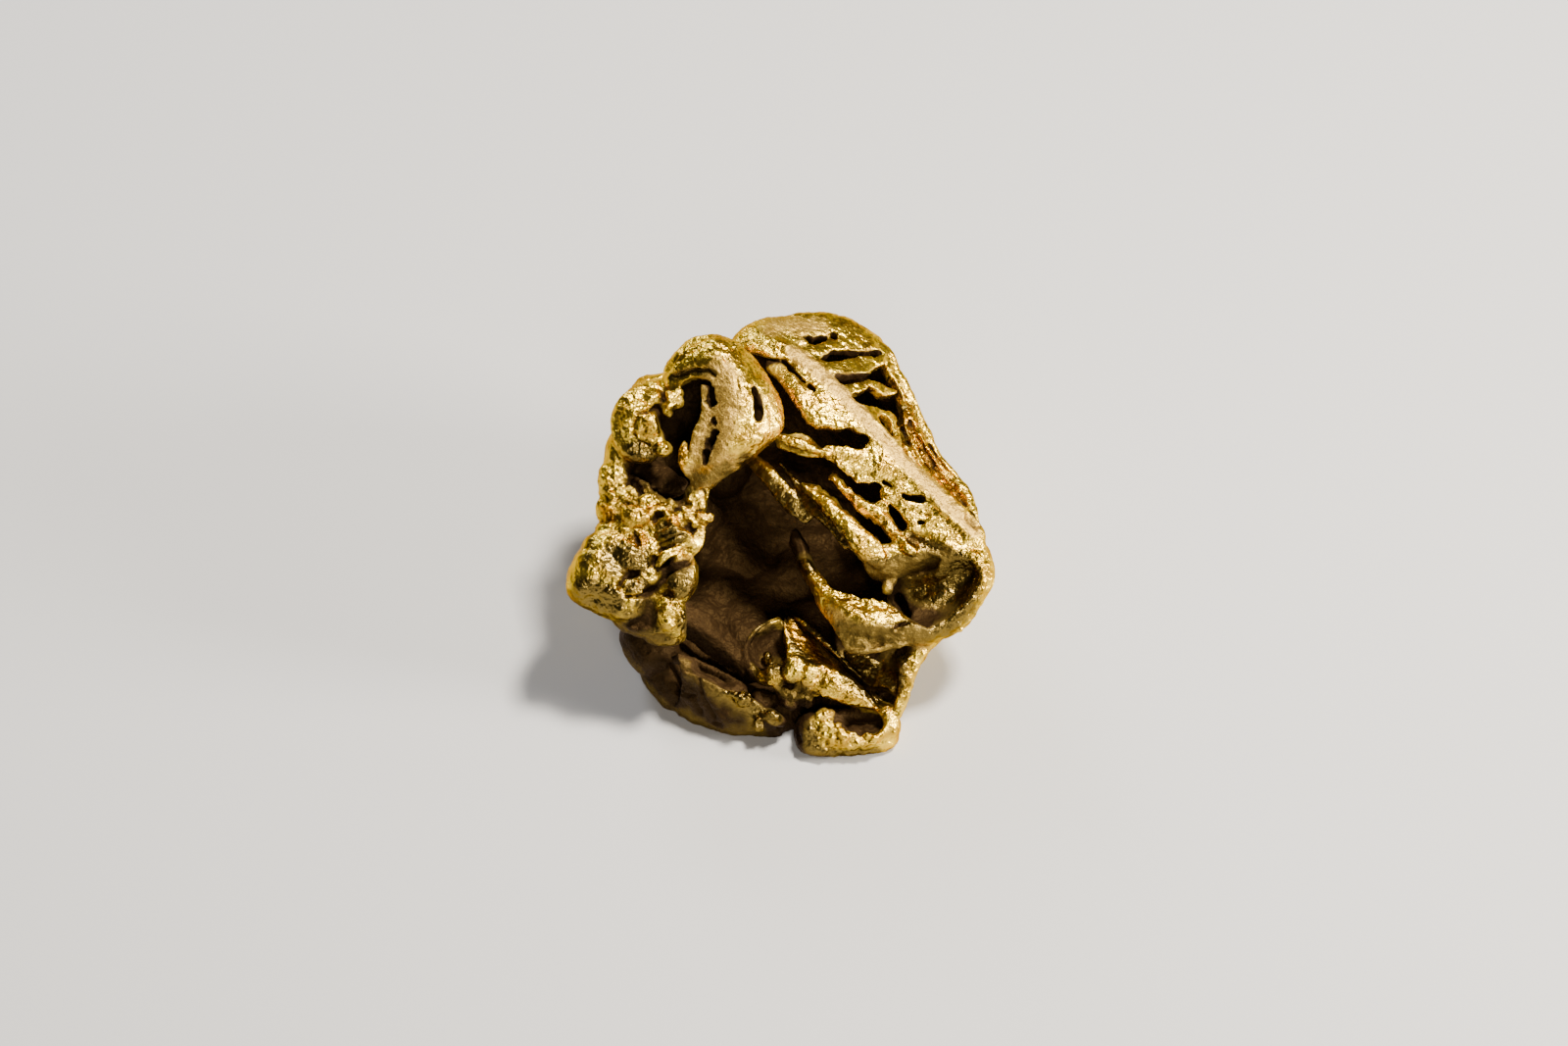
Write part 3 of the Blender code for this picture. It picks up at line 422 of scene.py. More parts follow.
def hood(bm):
    """The thick curled hood at the upper left: a rolled rim, a slit front and a bright flank."""
    # its first gap passes over the free top of the strip beside the cave
    sheet(bm, """
        -5.9,7.4,0.6 -5.4,8.6,0.4 -4.2,9.3,0.6 -2.9,9.1,0.8 -1.9,8.2,0.8 -1.3,7.2,1 -1.1,6.2,1.2
        -1.2,5.3,1.6 -1.9,4.5,2 -3.3,3.1,2.4;
        -6.35,7.5,1.7 -5.8,8.9,1.7 -4.6,9.95,1.9 -3.1,10.05,2.2 -1.6,9,2.4 -0.6,7.7,2.7 -0.1,6.4,3
        -0.15,5.2,3.3 -1.3,4,3.5 -3.6,2.35,3.5;
        -6,7.1,2.7 -5.5,8.3,3 -4.5,9.1,3.4 -3.4,9.2,3.9 -2.5,8.3,4.4 -2.1,7.2,4.8 -2.1,6.1,5
        -2.2,5.1,5 -2.8,4,4.8 -4.1,2.3,4;
        -5.5,6.95,2.9 -5.2,7.5,3.2 -4.7,7.82,3.5 -4.2,7.78,3.8 -4.15,7.1,4.1 -4.15,6.2,4.2
        -4.5,5.4,4.3 -4.75,4.6,4.3 -4.8,3.4,4.1 -4.7,2.2,3.6
    """, thick=1.0, crumple=0.1, slots="""
        0.12 -3.62,5.82 -3.47,5.55;
        0.14 -3.4,5.12 -3.5,4.85 -3.75,4.4;
        0.13 -3.87,4.15 -4,3.5
    """, gaps="""
        -4.7,7.7 -4.3,7.85 -3.95,7.82 -3.72,7.7 -3.6,7.4 -3.45,6.9 -3.42,6.5 -3.6,6.32 -3.75,6.5
        -3.82,6.9 -3.83,7.5 -4.2,7.52 -4.6,7.55;
        -1.65,7.35 -1.4,7.4 -1.3,7 -1.1,6.6 -1,6.25 -1.05,5.8 -1.2,5.62 -1.45,5.65 -1.56,6.1
        -1.55,6.7
    """)


def roof(bm):
    """The ridge that runs down from the top to the right, and the slotted plate behind it."""
    strap(bm, "-0.9,9.9,-0.4 -0.2,9.6,0 1.2,8.7,0.6 2.55,7.4,1.2 3.95,5.8,1.8 5.8,3.8,2.25 "
          "7.9,1.8,2.5 9.5,0.15,2.65 10,-1,2.7", [0.3, 0.6, 0.55, 0.5, 0.5, 0.55, 0.7, 0.85, 0.7],
          [0.3, 0.3, 0.24, 0.22, 0.22, 0.26, 0.32, 0.42, 0.5], facing=(0.3, 0.5, 0.8), square=1.1)
    # the corner fold over the hood, with a granular lip
    sheet(bm, """
        -2.6,9.5,-2.6 -1.9,10.1,-3.2 -0.9,10.5,-3.6 0.7,10.7,-4;
        -2.8,9.85,-1.3 -2,10.6,-1.7 -1,11.05,-2 0.7,11.3,-2.5;
        -2.6,9.7,-0.5 -1.8,10.3,-0.6 -0.8,10.5,-0.7 0.8,10.3,-0.9;
        -2.3,9.3,-0.1 -1.5,9.5,0.1 -0.6,9.4,0.3 0.8,8.9,0.6;
        -2.1,8.9,-0.8 -1.4,9,-0.8 -0.6,8.9,-0.6 0.6,8.3,-0.2
    """, thick=0.9, crumple=0.15)
    strap(bm, "-2.3,9.5,0 -1.5,9.45,0.4 -0.6,9.2,0.6 0.4,8.9,0.7", [0.25, 0.3, 0.28, 0.2])
    # the plate; its third gap runs round the free tips of the wavy slat and of the curled one
    sheet(bm, """
        -0.8,10.2,-0.5 0.8,9.2,0.5 2.6,7.6,1.4 4.4,5.8,2 6,4.2,2.3;
        -0.4,10.8,-1.4 1.8,10.1,-0.8 3.9,8.7,-0.4 5,7,0.2 6,5.4,0.6;
        0.5,11.3,-2.6 2.6,11.35,-2.8 4.9,10.1,-2.8 6,8,-2.2 6.9,6,-1.6;
        0.4,10.6,-5 2.6,10.5,-5.4 4.6,9.5,-5.3 5.8,7.4,-4.8 6.6,5.2,-4
    """, thick=0.55, crumple=0.06, slots="0.15 2.56,10.16 2.58,10.3", gaps="""
        0.75,10.14 1.2,10.24 1.5,10.1 1.8,10.26 2,10.15 2.25,10.2 2.25,10 2,9.85 1.6,9.66 1.3,9.72
        1,9.92;
        1.8,9 1.95,9.15 2.3,9.25 2.6,9.47 3,9.45 3.3,9.4 4.2,9.35 4.8,9.47 5.05,9.45 5.1,9.2
        4.7,9.1 3.7,9.1 3.4,9 3,8.9 2.4,8.85 1.95,8.85;
        2.5,8.12 3.2,8.1 3.8,8.2 4.35,8.25 4.7,8.5 5.25,8.82 5.4,8.35 5.75,7.85 5.95,7.4 6.1,7
        6.25,6.3 6.2,5.6 5.95,5.2 5.75,5.5 5.8,5.9 5.65,6.15 5.35,6.3 4.9,6.4 4.4,6.52 3.9,6.62
        3.5,6.85 3.3,7.1 3.9,7.28 4.25,7.42 4.5,7.6 4.75,7.4 5,7.15 5.3,7.08 5.75,7.18 5.9,7.32
        5.6,7.42 5.2,7.58 4.8,7.78 4.3,7.88 3.9,7.76 3.4,7.7 2.9,7.66 2.6,7.8;
        4.75,5.95 5,6.12 5.3,6 5.5,5.7 5.6,5.3 5.8,5 5.5,4.9 5.2,5.2 4.9,5.6
    """)
    lumps(bm, "2.8,9,-3.9 2.6,1.7,0.9 -15")
    # worn lumps where the plate runs out into the rear
    lumps(bm, "-0.2,10.1,-4.3 1.2,0.6,1 10")
    strap(bm, "-0.4,9.7,-4.7 2.2,9.8,-5.2 4.2,8.8,-5.1 5.4,7,-4.7 6.4,4.8,-3.8",
          [0.6, 0.8, 0.8, 0.8, 0.5], 0.4, facing=(0.1, 0.5, -0.9), square=1.0)
    strap(bm, "6.25,6.5,-2.2 6.6,5.6,-1.7 7.1,4.5,-1.1", 0.38, 0.35)
    # the outer rim and the hollow flank inside it
    strap(bm, "4.2,10.4,-2.8 5.2,9.4,-2.6 5.8,8.2,-2.2 6.45,6.9,-1.8 7.05,5.4,-1.5 7.6,4.1,-1.2 "
          "8.5,3,-0.8 9.3,1.9,-0.2 9.6,0.8,0.6 9.7,-0.3,1.6",
          [0.4, 0.34, 0.32, 0.32, 0.34, 0.36, 0.36, 0.36, 0.4, 0.5],
          [0.5] * 8 + [0.6, 0.8])
    sheet(bm, """
        5.7,7.9,-2.5 6.4,6.3,-1.7 7,4.9,-1.1 7.9,3.3,-0.6 9,1.7,0.1 9.6,0.3,1;
        5.8,6.9,-2.4 6.2,5.8,-1.2 6.7,4.5,0 7.7,2.9,0.7 8.8,1.5,1.1 9.5,0.2,1.6;
        5.5,6.2,-1.6 5.8,5.2,0.2 6.4,4,1.3 7.5,2.5,1.9 8.7,1.1,2 9.5,0.1,2.1
    """, thick=0.7, crumple=0.2)
    strap(bm, "6.2,6.4,-1.6 6.55,5.4,-0.85 7,4.4,-0.35 7.7,3.4,0.15", [0.3, 0.38, 0.38, 0.3])
    strap(bm, "6.3,6.9,-1.6 6.8,5.4,-0.6 7.5,4,0.1 8.1,3.2,0.35", 0.13, 0.22)
    strap(bm, "6,6.2,-1.1 6.4,4.9,0.4 7.1,3.5,1.3", 0.11, 0.2)


def facade(bm):
    """The slotted front that hangs from the ridge over the hollow."""
    # its third gap runs under the front band, round the middle slat's tip and along the jaw strap
    sheet(bm, """
        -0.8,9.5,0.1 1.5,8.2,1 3.8,6.1,1.9 6,3.8,2.4 8.2,1.5,2.7 9.9,-0.4,2.9;
        -0.9,8.8,0.6 0.9,7.2,1.75 3,5.4,2.4 5.3,2.9,2.75 7.3,0.7,2.9 9.2,-0.9,3.1;
        -1,8.2,0.8 0.4,6,1.9 2.2,4.2,2.7 4.3,1.9,2.7 6.2,-0.3,2.9 8.1,-0.8,2.9;
        -1.2,6.6,1 -0.4,4.8,2.4 1.1,2.1,2 3.2,-0.6,2.8 4.7,-1.9,2.9 6.6,-1.2,2.7
    """, thick=0.55, crumple=0.12, slots="""
        0.2 -1.6,8.9 -1,9 -0.4,8.9;
        0.11 -0.1,8.85 0.5,8.3 1.05,7.75;
        0.1 5,2.6 5.5,2.35 6,2;
        0.17 6,1.95 6.5,1.85 6.9,1.75;
        0.13 6.8,0.62 6.95,0.6
    """, gaps="""
        1.06,7.7 1.2,7.8 1.42,7.58 1.68,7.3 1.7,7.12 1.55,7.16 1.28,7.46;
        -2,8.4 -0.95,8.45 -0.65,8.15 -0.3,7.7 0.3,6.9 0.85,6.25 1.15,5.65 1.5,5.42 2.3,5.45
        2.8,5.32 3.3,5.45 3.8,5.2 4.3,5.1 4.6,4.95 4.2,4.6 4,4.42 3.6,4.25 3.2,4.45 2.15,4.5
        1.95,4.28 1.7,4.35 1.5,4.6 1.2,4.92 0.9,5.1 0.6,5.12 0.1,5.02 -0.6,5.15 -2,5.2;
        -2,4.9 -0.5,4.75 -0.1,4.4 0.3,4.15 0.9,3.98 1.6,3.88 2,3.85 2.4,3.65 2.8,3.4 3.15,3.05
        3.45,2.78 3.7,2.6 4.2,2.55 4.75,2.62 4.95,2.45 4.85,2.1 4.9,1.72 4.4,1.6 4,1.85 3.5,2.2
        3,2.6 2.75,2.82 2.55,3 2.2,3 2.2,2.85 2.5,2.6 2.9,2.2 3.35,1.65 3.7,1.3 4,1 4.4,0.62
        4.9,0.45 5.05,0.15 5.3,-0.1 5.6,-0.5 5.9,-0.85 5.75,-1 5.4,-0.8 5,-0.5 4.6,-0.15 4.1,0.15
        3.6,0.6 3.2,1.05 2.8,1.3 2.4,1.75 2.1,2.05 1.6,2.4 0.85,2.5 -1,3 -2,3.6;
        5.2,1.6 5.35,1.55 5.7,1.2 6,0.8 6.25,0.5 6.15,0.15 5.95,0.1 5.7,0.5 5.4,0.9 5.25,1.2;
        -2,3.4 0.85,2.4 1.3,2 1.7,1.5 2.2,1.05 2.7,0.5 2.75,0.1 3.1,-0.4 3.6,-1.1 3.9,-1.7 2,-2
    """)
    # the jaw strap, which widens down to its nose
    strap(bm, "0.75,2.5,1.8 1.85,1.75,2.3 2.85,0.75,2.8 3.75,-0.2,3.2 4.5,-1,3.3 4.9,-1.8,3.1",
          [0.2, 0.38, 0.48, 0.6, 0.72, 0.4], 0.35, facing=(-0.1, 0.3, 1))
    sheet(bm, """
        3.7,-0.3,2.9 5.2,-0.4,2.9 6.8,-0.1,2.85 8.6,0,2.7 9.5,0,2.2;
        3.9,-1.1,3.1 5.2,-1.2,3.05 7,-0.9,2.95 8.5,-0.9,2.9 9.4,-0.9,2.4;
        4.1,-1.9,2.9 5.2,-2.1,2.7 7,-1.6,2.4 8.4,-1.5,2.4 9.2,-1.5,2;
        4.4,-2.3,2.3 5.3,-2.4,2 7.2,-1.9,1.7 8.3,-1.8,1.7 8.9,-1.9,1.6
    """, thick=0.5, crumple=0.08)
    lumps(bm, """
        5.22,-2.65,2.4 0.32,0.4,0.3
        5.4,-2.35,2.3 0.3,0.3,0.3
        6.3,-0.75,3.1 0.42,0.26,0.25 -35
    """)
    strap(bm, "7,-0.75,2.6 8,-0.75,2.75 9,-0.85,3", [0.4, 0.5, 0.5], 0.4)
    # the front band, ragged along both its edges
    strap(bm, "-0.5,4.95,2.7 0.3,4.7,2.7 1.1,4.45,2.7 1.9,4.15,2.6 2.8,4,2.5",
          [0.2, 0.28, 0.24, 0.16, 0.3], 0.3)
    strap(bm, "2.4,3.75,2.6 2.9,3.45,2.7 3.35,3.1,2.7", [0.12, 0.15, 0.14])
    # the Y-shaped knob on the middle slat
    strap(bm, "2.3,2.98,2.5 3,2.3,2.6 3.9,1.55,2.7 4.8,0.95,2.8 5.5,0.2,2.9 6.4,-0.7,3",
          [0.14, 0.18, 0.26, 0.34, 0.26, 0.26], 0.3)
    strap(bm, "4.5,1.35,2.8 4.95,1.5,2.8 5.15,1.2,2.9", [0.2, 0.24, 0.2])
    # blades inside the hollow
    strap(bm, "-1.9,4.1,0.8 -2.1,4.7,1.4 -2.2,5.2,2.2", 0.3)
    strap(bm, "-2.1,4.2,0.7 -0.75,2.95,1.2 0.45,1.5,1.5 1.4,0.65,1.7", [0.36, 0.5, 0.5, 0.42],
          0.22, facing=(-0.25, 0.15, 1), blunt=0.15)
    strap(bm, "-0.3,3.7,0.8 0.3,3,1.2 1,2,1.5 1.7,1.1,1.9 2.6,0.2,2.3 3.2,-0.9,2.6",
          [0.12, 0.16, 0.22, 0.3, 0.3, 0.2])
    strap(bm, "1.35,3.5,0.6 1.9,2.9,1.2 2.4,2.3,1.8", 0.13)


def right_loop(bm):
    """The lower flap, creased along its middle, and the round loop and bowl that it ends in."""
    sheet(bm, """
        0.6,0.3,0.6 1.3,-1.5,1.9 2.4,-2.6,2.7 3.9,-3.15,3.2 5.5,-3.5,3.3 6.3,-4.3,3.2;
        0.3,-0.1,0.6 1.2,-2.1,2.1 2.4,-3.5,3.4 4.2,-4.3,4 5.9,-4.6,3.9 7.2,-4.7,3.5;
        0.1,-0.5,0.1 1.4,-2.9,1.6 2.6,-5.2,3.1 3.4,-6,3.4 5.2,-5.7,3.3 7.2,-5.4,2.9
    """, thick=0.7, crumple=0.15)
    lumps(bm, """
        5.5,-4.75,3.95 0.16
        6.1,-4.62,3.9 0.14
        6.4,-4.45,3.8 0.12
    """)
    strap(bm, "3.2,-5.9,3.5 4.4,-5.85,3.5 5.4,-5.6,3.4 6.3,-5.4,3.3", 0.14, 0.2)
    sheet(bm, """
        8.6,0.4,1.2 9.9,0,1.4 10.45,-1.6,1.6 9.8,-3.5,1.6 8.6,-4.8,1.6 7.2,-5.5,1.8 6,-5.6,2.2;
        8.5,-0.1,2.8 10,-0.5,2.7 10.65,-1.8,2.7 10.1,-3.4,2.7 8.95,-4.8,2.7 7.4,-5.5,2.8
        5.8,-5.6,3.1;
        8.2,-0.8,3.05 9.4,-1.1,3.4 10,-1.9,3.6 9.55,-3.1,3.6 8.5,-4.2,3.5 7.3,-4.8,3.5
        6.2,-4.9,3.5;
        7.9,-1.4,3 8.8,-1.6,2.7 9.3,-2.1,2.6 8.9,-2.9,2.5 8.1,-3.7,2.5 7.2,-4.2,2.6 6.3,-4.4,2.9;
        7.4,-2,2.5 7.9,-2.3,2.3 8.2,-2.6,2.2 7.9,-2.95,2.2 7.3,-3.3,2.2 6.9,-3.6,2.2 6.4,-3.8,2.3;
        5.4,-2.3,1.8 5.4,-2.6,1.6 5.3,-2.9,1.4 5.2,-3.2,1.2 5.2,-3.5,1.2 5.2,-3.8,1.3 5.2,-4.1,1.5
    """, thick=0.8, crumple=0.12, slots="0.3 5.85,-3.3 6.05,-3.7")


def lower_folds(bm):
    """The cup, crest and small folds on the floor of the hollow, and the leg down to the foot."""
    strap(bm, "8.4,-4.7,2.1 7.3,-5.4,2.1 6.65,-6.1,2.1 6.25,-7.1,2.1 6,-8.2,1.9 5.6,-9.5,1.7",
          [0.4, 0.5, 0.46, 0.44, 0.42, 0.42], 0.5)
    strap(bm, "6.4,-5.4,1.2 6,-6.2,1.4 5.8,-7.2,1.6", [0.5, 0.45, 0.3], 0.4)
    lumps(bm, "6.15,-6.9,2.1 0.42,0.75,0.5 15")
    # the bright granular crest
    strap(bm, "0.2,-6.7,1.7 1.2,-7.1,2 2.4,-7.5,2.1 3.5,-8.1,2 4.6,-8.8,1.8",
          [0.7, 0.85, 0.8, 0.7, 0.4], 0.75)
    lumps(bm, """
        0.45,-6.75,2.4 0.58,0.75,0.5 -10
        1.3,-7.1,2.5 0.6,0.55,0.45 -25
        2.5,-7.6,2.5 0.7,0.5,0.4 -25
        3.5,-8.1,2.4 0.6,0.4,0.4 -35
    """)
    # the wall under the crest and the dark knob to its left
    lumps(bm, """
        2.8,-8.7,-0.4 1.8,0.8,0.8
        0.4,-8.1,1.3 0.8,0.7,0.8 0 0.75
        0.35,-7.6,1.5 0.5,0.4,0.4
        -1,-8.35,1.1 0.7,0.5,0.5 -20
        0,-7.9,1.8 0.42
        0.6,-8,2 0.4
        0.35,-8.5,1.8 0.42
        1.25,-7.95,2 0.45,0.4,0.45 20
        1.2,-8.45,1.7 0.4,0.32,0.4 -15
    """)
    # the cup
    sheet(bm, """
        -0.2,-4.3,-0.2 -1.2,-4.8,0.2 -1.9,-5.8,0.6 -1.7,-6.8,1;
        0.1,-4.8,-0.4 -0.5,-5.2,-0.3 -0.9,-5.9,0 -0.9,-6.8,0.8;
        0.5,-4.6,0 0.3,-5.4,0.1 0.2,-6,0.5 0.1,-6.6,1.4
    """, thick=0.4)
    strap(bm, "-0.05,-4.2,0.4 -0.9,-4.5,0.5 -1.5,-5,0.6 -1.95,-5.8,0.8 -1.85,-6.5,1 -1.3,-7.2,1.4 "
          "-0.6,-7.7,1.7", [0.1, 0.11, 0.13, 0.17, 0.25, 0.36, 0.36])
    lumps(bm, """
        -0.5,-7.1,2 0.5,0.62,0.4
        -1.05,-7.2,1.8 0.32
        -0.3,-7.5,1.9 0.36
        -0.85,-6.3,0.75 0.26,0.4,0.25
    """)
    strap(bm, "0.05,-4.1,0.6 0.03,-4.8,0.9 0.1,-5.6,1.1", [0.08, 0.09, 0.1])
    # the arch and the thin edge that run from the cup to the leg
    strap(bm, "0.4,-4.1,0.5 1.1,-4.6,0.7 2.1,-5.5,0.9 3.1,-6.5,1 4.6,-7.9,1.3",
          [0.12] + [0.14] * 4)
    sheet(bm, """
        0.15,-4.1,0.3 1.4,-5,0.4 2.5,-6.1,0.5 3.7,-7.3,0.7 5,-8.3,1.2;
        0.12,-4.7,0.9 1.1,-5.5,1 2.3,-6.5,1.2 3.5,-7.5,1.4 4.9,-8.7,1.6;
        0.12,-6.3,1.9 1.2,-6.7,2.3 2.3,-7.2,2.4 3.5,-7.9,2.3 4.7,-8.9,1.9
    """, thick=0.5, crumple=0.1)
    # the spoon-shaped leaf beside the leg, and the wall behind it
    strap(bm, "3,-5.9,0.2 3.8,-6.5,0.7 4.7,-7.1,1 5.4,-7.7,1.1", [0.3, 0.6, 0.6, 0.2], 0.2,
          facing=(-0.1, 0.2, 1), square=1.0)
    strap(bm, "5.25,-7.5,1.7 5.45,-7.8,1.8 5.6,-8.05,1.8", [0.1, 0.16, 0.1])
    sheet(bm, """
        2.6,-4.8,-0.6 4.4,-5,-0.8 6.6,-5.2,0.4;
        2.8,-6.4,0 4.6,-6.6,-0.2 6.2,-6.8,0.6;
        3,-8.2,0.4 4.6,-8.6,0.4 5.8,-8.8,0.8
    """, thick=0.7)
    # folds against the left wall of the hollow
    sheet(bm, """
        -6.8,0.2,-1.2 -5,-0.2,-1.8 -3.4,-0.6,-2.6;
        -6.6,-1.6,-1 -4.8,-1.8,-1.6 -3.2,-2,-2.6;
        -6.2,-3.4,-0.6 -4.8,-3.4,-1.2 -3.8,-3.2,-2
    """, thick=0.6)
    sheet(bm, """
        -5.2,-3.2,1.2 -4,-3.9,0.9 -2.8,-4.8,0.6 -1.9,-6,0.6;
        -5.2,-4.3,1.5 -4.1,-5,1.3 -3,-5.8,1.1 -2,-6.8,1.1;
        -5.4,-5,0.8 -4.4,-5.8,0.4 -3.2,-6.6,0.4 -2.1,-7.4,0.8
    """, thick=0.6, crumple=0.15)


FEATURES = (back_shell, base, left_lump, left_column, hood, roof, facade, right_loop, lower_folds)


def placed(name, data):
    """A new object in the scene."""
    obj = bpy.data.objects.new(name, data)
    bpy.context.scene.collection.objects.link(obj)
    return obj


def fused(bm):
    """All the shapes as one skin, worn smooth, as a mesh in millimetres."""
    mesh = bpy.data.meshes.new("rough")
    bm.to_mesh(mesh)
    bm.free()
    rough = placed("rough", mesh)
    remesh = rough.modifiers.new("fuse", "REMESH")
    remesh.mode = "VOXEL"
    remesh.voxel_size = VOXEL
    wear = rough.modifiers.new("wear", "SMOOTH")
    wear.iterations = WEAR_PASSES
    wear.factor = 0.5
    return evaluated(rough)


def evaluated(obj):
    """The object's finished mesh. The object itself is removed."""
    bpy.context.view_layer.update()
    graph = bpy.context.evaluated_depsgraph_get()
    made = bpy.data.meshes.new_from_object(obj.evaluated_get(graph))
    old = obj.data
    bpy.data.objects.remove(obj)
    bpy.data.meshes.remove(old)
    return made


def largest_piece(mesh):
    """Deletes every loose scrap but the biggest closed skin."""
    bm = bmesh.new()
    bm.from_mesh(mesh)
    seen, pieces = set(), []
    for vert in bm.verts:
        if vert in seen:
            continue
        group, todo = [], [vert]
        seen.add(vert)
        while todo:
            at = todo.pop()
            group.append(at)
            for edge in at.link_edges:
                other = edge.other_vert(at)
                if other not in seen:
                    seen.add(other)
                    todo.append(other)
        pieces.append(group)
    pieces.sort(key=len)
    for group in pieces[:-1]:
        bmesh.ops.delete(bm, geom=group, context="VERTS")
    bm.to_mesh(mesh)
    bm.free()


# Marks on the finished skin, a line each: strength, reach, how far back they still show, and the
# run they follow. First creases pressed into it, as deep as they are strong.
CRACKS = rows("""
0.2 0.18 1.5 -5.5,7.95 -4.6,8.25 -3.8,8.22 -3.5,7.95
0.14 0.14 1 -5.9,8.3 -5.2,9.2 -4.4,9.8 -3.6,10
0.1 0.12 1.5 -5.3,8.7 -4.6,9.3 -3.7,9.6 -2.9,9.3
0.1 0.14 2 -3,8.9 -2.4,8.2 -2.3,7.2
0.1 0.12 -4 6.1,6.8 6.55,5.3 7.3,4 8.1,2.9
0.12 0.12 -4 6.6,6.6 7,5.2 7.8,3.9 8.5,3 8.8,2.9
0.35 0.35 -2 9.35,0.95 9.7,0.5
0.22 0.4 1.5 6.45,-0.15 7.1,-0.5 7.9,-0.8
0.12 0.18 3 -7.5,-0.1 -7.3,-0.3
0.22 0.14 2 -6.4,6.4 -7,6.15 -7.4,6.15
0.2 0.14 2 -7.4,6 -7.65,5.3 -7.4,4.7 -6.8,4.5
0.4 0.2 3 -8.25,-2.5 -8,-2.1 -7.3,-1.95
0.45 0.24 3 -6.9,-2.95 -6.3,-2.6 -5.9,-1.9 -5,-1.4 -4.6,-1.3
0.3 0.14 3 -7.9,-3.1 -7.3,-3.1 -6.8,-2.95
0.2 0.12 3 -6.5,-1.1 -6.3,-1.6 -6.35,-2.2
0.6 0.24 2.5 -6.5,0.75 -6.4,1 -6.15,1.05
0.12 0.1 3 -6.2,-0.1 -5.6,0.2 -5.1,0.3
0.14 0.1 3 -6.3,-0.5 -5.6,-0.15 -4.9,0
0.12 0.1 3 -6.2,-0.8 -5.5,-0.5 -4.8,-0.35
0.14 0.1 3 -5.8,-1 -5.2,-0.8 -4.7,-0.7
0.2 0.16 0.5 -9.4,0.7 -8.9,0.65
0.35 0.15 0.5 -5.75,-6.6 -5.4,-7.3 -5.2,-7.9
0.16 0.14 0 -4.9,-6.9 -4,-7.1 -3,-7.7
0.22 0.16 -0.5 -5.4,-8 -4.6,-8.3 -4.2,-9.1
0.16 0.14 0 -4.3,-7.3 -4,-8.4 -3.5,-9.3
0.15 0.12 0.5 -4,-7.2 -2.9,-7.75 -1.9,-8
0.3 0.14 0.5 0.55,-9.1 0.6,-9.8 0.75,-10.5
0.25 0.14 0.5 -3.55,-9.6 -3.2,-9.65
0.15 0.1 1 -1,10.1 -0.3,9.7 0.3,9.2
0.12 0.1 1 5.6,-0.1 6.3,0.1 7,-0.1 7.6,-0.4
0.12 0.1 1 6.4,1.2 6.9,0.95 7.4,1
0.15 0.1 1 2.9,-7.6 3.4,-7.45
0.3 0.13 2.5 5.5,-4.65 5.85,-4.5 6.15,-4.45
""")

# Hollows worn broad and shallow.
DISHES = rows("""
0.25 0.9 2 -9.6,-3.3 -8.9,-3.6
0.15 0.8 2.5 -3.6,6.6 -3.8,4.4
0.5 0.7 0.5 -4,-6.6 -2.9,-7.2
0.25 0.6 0 -4.8,-7.6 -4.5,-8
0.25 0.7 0 -3,-8.6 -2.4,-9.2
0.9 0.75 0.5 3.4,-9.35 4.5,-9.45
0.2 0.4 1 -1.8,10 -1.2,10.1
0.15 0.6 1 3.4,-5.1 4.8,-5.2
""")

# Where the skin is made of sugar-like grains.
GRAINY = rows("""
1 1.3 2 -8.9,1.7 -8.3,1.9 -6.8,2
1 1.1 2 -5.6,1.3 -4.5,1.1 -4.2,0.4
0.8 0.7 2 -8,0 -6.9,-0.3
0.6 0.9 0.8 -9.2,2 -8.8,3.2
0.9 0.8 3 -6.6,-2.9 -5.6,-3.4 -5.4,-4.6
0.7 0.6 3 -8.9,-2.6 -8,-2.9 -7.8,-3.6
0.6 0.5 3 -7.9,-4.5 -6.6,-4.8
0.5 0.9 1 0.3,-6.5 1.6,-7.1 2.8,-7.6 4,-8.2
1 1.1 0.8 0.2,-8.2 1.4,-8.2
0.6 0.6 1 6.4,-6.2 6.1,-7.2
0.9 0.8 1.2 1.9,-9.3 2.8,-10.1 4.4,-10.1
1 0.6 1 -2,-8.3 -2.1,-8.2
0.6 0.9 0.2 1.2,-10.2 2.8,-10.9 4.6,-10.8
0.5 1 1.5 2.8,-4.8 4,-5.2 6,-5.1
0.5 0.7 1 9.6,-0.8 10.3,-2 9.7,-3.6 8.6,-4.8
0.5 1 1 -7.8,6.6 -8,5.2 -7,4.4
0.9 0.7 3 -7.9,-2.6 -6.8,-2.7
0.4 0.8 -4 6.4,6.4 7,4.8 8.2,2.8 9.3,1.2
0.8 0.5 -1 -2.4,9.6 -1.4,9.6 -0.4,9.4
0.8 0.7 2 -5.5,6.8 -5.8,6.2
0.8 0.5 2.5 -6.1,4.2 -5.9,4.3
0.5 0.5 2 -7,6.1 -6.7,5.2
0.8 0.4 1.5 -0.9,-9 -0.4,-9.2
0.8 0.4 1 -1.3,-9.4 -1.3,-9.8
0.5 0.5 2 1.4,-1.9 2.6,-2.9 4.2,-3.4 5.8,-3.9
0.6 0.35 1.5 0,4.7 1.2,4.4 2.8,3.7 3.6,3
0.6 0.3 1.5 2.3,2.9 3.6,1.8 4.8,0.9 5.6,-0.1
0.5 0.4 1.5 5.2,2 6.2,1.2 7,1
0.6 0.45 0.5 -1.9,-6.6 -1.3,-7.3 -0.6,-7.2
""")

